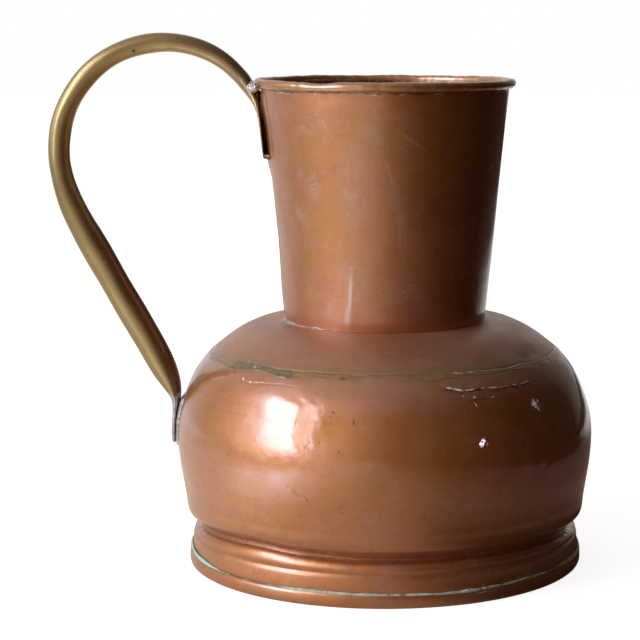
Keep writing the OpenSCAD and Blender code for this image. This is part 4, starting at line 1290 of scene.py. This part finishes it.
def make_joints():
    ob = band("neck_patch_plate", 195.0, 226.2, 20.0, 0.005, 0.55, MAT["patch"], 1.6)
    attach(ob, "root"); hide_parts("neck_patch")
    ob = band("neck_seam_strip", 118.8, 194.9, 1.7, 0.005, 0.3, MAT["braze"], 0.6, 12, 90)
    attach(ob, "root"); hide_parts("neck_seam")

    # braze along the lower end of the flat upper tab: fills the wedge between the flat tab and the round neck
    ny, nz = 60, 10
    ys = np.linspace(-16.6, 16.6, ny)
    j1, j2 = noise1(71, 2, 30, 20, 0.3), noise1(72, 2, 30, 20, 0.3)
    loops = []
    for y in ys:
        zt = 197.2 + 0.4 * float(j1(y * 0.18))
        zb = 194.9 + 0.2 * float(j2(y * 0.2))
        taper = 1 - 0.75 * smooth(abs(y), 14.5, 16.6)
        r_in = rn(195.9) + 0.3
        xi = -math.sqrt(r_in**2 - y * y)
        xo = -57.45 + 0.0 * y
        xo = xi + (xo - xi) * taper
        ring = []
        for k in range(12):
            a = 2 * PI * k / 12
            cx, cz = 0.5 * (xi + xo), 0.5 * (zt + zb)
            ring.append((cx + 0.5 * (xo - xi) * math.copysign(abs(math.cos(a)) ** 0.7, math.cos(a)), y,
                         cz + 0.5 * (zt - zb) * math.copysign(abs(math.sin(a)) ** 0.7, math.sin(a))))
        loops.append(ring)
    V = np.array(loops).reshape(-1, 3)
    faces = []
    for i in range(ny - 1):
        for k in range(12):
            j = (k + 1) % 12
            faces.append((i * 12 + k, i * 12 + j, (i + 1) * 12 + j, (i + 1) * 12 + k))
    faces.append(tuple(range(12)))
    faces.append(tuple((ny - 1) * 12 + k for k in range(11, -1, -1)))
    ob = mesh_object("upper_tab_braze_fill", V, faces, MAT["tab_braze"], 60)
    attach(ob, "root"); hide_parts("upper_tab_braze")

    # silver solder between the handle and the rim
    def keep(q):
        return q
    ob = blob("rim_solder_lump", (-62.2, -5.8, 228.2), (2.9, 3.4, 2.8), MAT["solder"], 3, 5, 0.07)
    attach(ob, "root"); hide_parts("rim_solder")
    ob = blob("rim_solder_lump_back", (-61.7, 5.8, 228.2), (2.5, 2.9, 2.3), MAT["solder"], 4, 5, 0.08)
    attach(ob, "root")
    ob = blob("rim_solder_web", (-62.5, 0.0, 228.0), (1.5, 6.0, 1.9), MAT["solder"], 6, 5, 0.12)
    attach(ob, "root")
    ob = blob("rim_solder_root", (-60.3, 0.0, 223.6), (1.35, 6.6, 3.4), MAT["tab_braze"], 7, 5, 0.10)
    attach(ob, "root")

    ob = blob("rim_solder_front", (-60.0, -15.2, 229.2), (2.3, 5.6, 2.3), MAT["solder"], 9, 5, 0.08)
    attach(ob, "root")

    # tinned pad under the lower tab
    def bowl_r(z):
        return float(np.interp(z, BOWL[::-1, 1], BOWL[::-1, 0]))
    nz, ny = 46, 40
    jz, jy = noise1(81, 2, 30, 20, 0.3), noise1(82, 2, 30, 20, 0.3)
    z0, z1, hw = 55.6, 80.6, 10.2
    top = np.zeros((nz, ny, 3))
    bot = np.zeros((nz, ny, 3))
    for i in range(nz):
        z = z0 + (z1 - z0) * i / (nz - 1)
        dz = min(z - z0, z1 - z)
        ins = 3.5 - math.sqrt(max(3.5**2 - (3.5 - dz) ** 2, 0)) if dz < 3.5 else 0
        for k in range(ny):
            fy = -1 + 2 * k / (ny - 1)
            y = fy * (hw - ins + 0.45 * float(jz(z * 0.15 + (0 if fy < 0 else 2))))
            edge = min(hw - abs(fy) * hw, dz)
            lift = 1.25 * float(smooth(edge, -0.2, 2.0)) + 0.08 * float(jy(z * 0.3 + y * 0.2))
            r = bowl_r(z) + lift
            for arr, rr in ((top, r), (bot, bowl_r(z) - 0.45)):
                a = math.asin(y / rr)
                arr[i, k] = (-rr * math.cos(a), rr * math.sin(a), z)
    V = np.concatenate([top.reshape(-1, 3), bot.reshape(-1, 3)])
    I = nz * ny
    faces = []
    for i in range(nz - 1):
        for k in range(ny - 1):
            a, b, c, d = i * ny + k, i * ny + k + 1, (i + 1) * ny + k + 1, (i + 1) * ny + k
            faces.append((a, b, c, d))
            faces.append((I + d, I + c, I + b, I + a))
    for i in range(nz - 1):
        for k, flip in ((0, False), (ny - 1, True)):
            a, d = i * ny + k, (i + 1) * ny + k
            f = (a, d, I + d, I + a)
            faces.append(f[::-1] if flip else f)
    for k in range(ny - 1):
        for i, flip in ((0, True), (nz - 1, False)):
            a, b = i * ny + k, i * ny + k + 1
            f = (a, b, I + b, I + a)
            faces.append(f[::-1] if flip else f)
    ob = mesh_object("lower_tab_solder", V, faces, MAT["solder"], 60)
    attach(ob, "root"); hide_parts("lower_solder")


MAT["solder_dark"] = solder_material("groove_solder", (0.30, 0.14, 0.075), (0.42, 0.19, 0.10), 0.0, 0.46, 0.8)
MAT["tab_braze"] = solder_material("tab_braze", (0.20, 0.12, 0.06), (0.12, 0.065, 0.035), 0.0, 0.50, 0.8)
MAT["neck_solder"] = neck_solder_material()

make_vessel()
make_neck()
make_seams()
make_handle()
make_joints()

# the wire inside the rim keeps its CAD shape and gets a real finish
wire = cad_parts["rim_wire"]
wire.data.materials.clear()
wire.data.materials.append(MAT["wire"])

# ---------------------------------------------------------------------------
# Floor, light and camera
# ---------------------------------------------------------------------------
me = bpy.data.meshes.new("floor")
me.from_pydata([(-3, -2.5, 0), (3, -2.5, 0), (3, 6, 0), (-3, 6, 0)], [], [(0, 1, 2, 3)])
floor = bpy.data.objects.new("floor", me)
bpy.context.scene.collection.objects.link(floor)
fm = bpy.data.materials.new("pale_floor")
fm.use_nodes = True
fb = fm.node_tree.nodes["Principled BSDF"]
fb.inputs["Base Color"].default_value = (0.55, 0.55, 0.55, 1)
fb.inputs["Roughness"].default_value = 0.9
fb.inputs["Specular IOR Level"].default_value = 0.0
fb.inputs["Emission Color"].default_value = (1, 1, 1, 1)
fb.inputs["Emission Strength"].default_value = 0.86
floor.data.materials.append(fm)
floor.visible_glossy = False
floor.visible_diffuse = False
floor.visible_shadow = False

# Under it lies a card that only the metal sees: a table top, pale at the left and ending at the right.
me = bpy.data.meshes.new("card")
me.from_pydata([(-3, -3, -0.001), (3, -3, -0.001), (3, 3, -0.001), (-3, 3, -0.001)], [], [(0, 1, 2, 3)])
card = bpy.data.objects.new("card", me)
bpy.context.scene.collection.objects.link(card)
C = Nodes("table_card")
C.t.nodes.remove(C.b)
cx, cy, cz = C.xyz()
along = C.add(C.mul(cx, 0.5), 0.5)
tone = C.ramp(along, [
    (0.0, (0.36, 0.35, 0.34)), (0.22, (0.52, 0.49, 0.46)), (0.33, (0.74, 0.68, 0.63)), (0.42, (0.74, 0.63, 0.53)), (0.48, (0.48, 0.37, 0.28)), (0.54, (0.23, 0.155, 0.115)),
    (0.60, (0.105, 0.066, 0.058)), (0.665, (0.088, 0.058, 0.060)), (0.673, (0.008, 0.003, 0.001)), (1.0, (0.006, 0.002, 0.001)),
])
# the window's own patch of light on the table, and the jug's shadow on the far side from it
def disc(x0, y0, r0, r1):
    dx, dy = C.sub(cx, x0), C.sub(cy, y0)
    return C.step(C.math("SQRT", C.add(C.mul(dx, dx), C.mul(dy, dy))), r1, r0)


tone = C.mix(disc(-0.25, -0.17, 0.03, 0.17), tone, (1.85, 1.72, 1.85))
tone = C.mix(C.mul(disc(0.0, 0.0, 0.135, 0.178), C.step(cx, 0.0, 0.07)), tone, (0.026, 0.014, 0.010))
far = C.step(cy, 0.22, 0.5)
tone = C.mix(C.mul(far, C.step(cx, 0.62, 0.30)), tone, (0.75, 0.75, 0.76))
glowing = C.t.nodes.new("ShaderNodeEmission")
C.t.links.new(tone, glowing.inputs[0])
glowing.inputs[1].default_value = 1.0
C.t.links.new(glowing.outputs[0], C.out.inputs[0])
card.data.materials.append(C.m)
card.visible_camera = False
card.visible_shadow = False

# A studio as the metal sees it: one tall window at the left front, a pale wall behind, and a room that darkens to the right.
world = bpy.data.worlds.new("studio")
bpy.context.scene.world = world
world.use_nodes = True
W = Nodes.__new__(Nodes)
W.t = world.node_tree
W.t.nodes.clear()
W.co = W.t.nodes.new("ShaderNodeTexCoord").outputs["Generated"]
wx, wy, wz = W.xyz()
az = W.mul(W.math("ARCTAN2", wx, W.mul(wy, -1.0)), 180 / PI)
el = W.mul(W.math("ARCSINE", wz, 0.0), 180 / PI)
turn = W.add(W.mul(az, 1 / 360), 0.5)


def at(a):
    return a / 360 + 0.5


room = W.ramp(turn, [
    (at(-180), (0.85, 0.85, 0.87)), (at(-158), (0.70, 0.68, 0.68)), (at(-118), (0.44, 0.39, 0.33)), (at(-85), (0.56, 0.50, 0.43)),
    (at(-50), (0.60, 0.52, 0.45)), (at(-20), (0.42, 0.31, 0.23)), (at(5), (0.170, 0.092, 0.050)), (at(30), (0.064, 0.029, 0.013)), (at(60), (0.017, 0.007, 0.003)),
    (at(95), (0.008, 0.005, 0.004)), (at(125), (0.012, 0.010, 0.009)), (at(150), (0.18, 0.175, 0.17)), (at(165), (0.55, 0.54, 0.53)), (at(180), (0.80, 0.80, 0.82)),
])
ceiling = W.step(el, 28.0, 70.0)
overhead = W.ramp(W.add(W.mul(wx, 0.5), 0.5), [(0.0, (0.56, 0.53, 0.50)), (0.5, (0.35, 0.31, 0.28)), (0.68, (0.13, 0.115, 0.105)), (1.0, (0.07, 0.063, 0.06))])
light = W.mix(ceiling, room, overhead)


def box_light(a0, a1, sa0, sa1, e0, e1, se0, se1):
    m = W.mul(W.step(az, a0 - sa0, a0 + sa0), W.step(az, a1 + sa1, a1 - sa1))
    return W.mul(m, W.mul(W.step(el, e0 - se0, e0 + se0), W.step(el, e1 + se1, e1 - se1)))


def lamp(light, mask, strength, tint=(1, 1, 1)):
    return W.mix(mask, light, tuple(strength * c for c in tint))


def glow(light, mask, colour):
    n = W.t.nodes.new("ShaderNodeMix")
    n.data_type = "RGBA"
    n.blend_type = "ADD"
    W.link(n.inputs[0], mask)
    W.link(n.inputs[6], light)
    W.link(n.inputs[7], colour)
    return n.outputs[2]


# its sides lean: lower down it lies further round to the front
straight = az
az = W.add(straight, W.mul(W.sub(el, 24.0), 0.40))
WINDOW = box_light(-78.0, -53.6, 6.0, 0.9, 3.0, 38.5, 6.0, 4.0)
light = glow(light, WINDOW, (4.9, 5.2, 6.2))
light = glow(light, box_light(-47.5, -35.5, 1.0, 2.0, 30.0, 41.0, 3.0, 3.0), (3.2, 3.2, 3.6))
light = glow(light, box_light(-48.0, -42.5, 1.0, 1.5, 10.0, 28.0, 4.0, 4.0), (2.3, 2.3, 2.6))
light = glow(light, box_light(-84.0, -38.0, 10.0, 9.0, -8.0, 50.0, 9.0, 10.0), (0.34, 0.34, 0.46))
az = straight
light = glow(light, box_light(-92.0, -74.0, 8.0, 6.0, -4.0, 50.0, 8.0, 10.0), (0.45, 0.45, 0.48))
light = glow(light, box_light(54.0, 55.2, 0.5, 0.5, 10.5, 14.0, 0.8, 0.8), (15.0, 13.0, 18.0))
light = glow(light, box_light(99.5, 101.5, 0.6, 0.6, 17.0, 20.5, 1.0, 1.0), (1.5, 1.25, 1.6))

path = W.t.nodes.new("ShaderNodeLightPath")
bg1 = W.t.nodes.new("ShaderNodeBackground")
W.t.links.new(light, bg1.inputs[0])
bg2 = W.t.nodes.new("ShaderNodeBackground")
bg2.inputs[0].default_value = (1, 1, 1, 1)
bg2.inputs[1].default_value = 1.0
mixer = W.t.nodes.new("ShaderNodeMixShader")
W.t.links.new(path.outputs["Is Camera Ray"], mixer.inputs[0])
W.t.links.new(bg1.outputs[0], mixer.inputs[1])
W.t.links.new(bg2.outputs[0], mixer.inputs[2])
wo = W.t.nodes.new("ShaderNodeOutputWorld")
W.t.links.new(mixer.outputs[0], wo.inputs[0])
world.cycles.sampling_method = "MANUAL"
world.cycles.sample_map_resolution = 1024

scene = bpy.context.scene
scene.view_settings.view_transform = "Standard"
scene.view_settings.look = "None"
scene.view_settings.exposure = 0.0
scene.view_settings.gamma = 1.0

cam = bpy.data.cameras.new("camera")
cam.sensor_width = 36.0
cam.lens = 2031.0 / 640.0 * 36.0
cam.shift_x = -(385.0 - 320.0) / 640.0
cam.shift_y = 0.0
cam.clip_start = 0.05
camera = bpy.data.objects.new("camera", cam)
camera.location = (0.0, -0.970, 0.2626)
camera.rotation_euler = (math.radians(90 - 8.583), 0.0, 0.0)
scene.collection.objects.link(camera)
scene.camera = camera

bpy.context.view_layer.update()
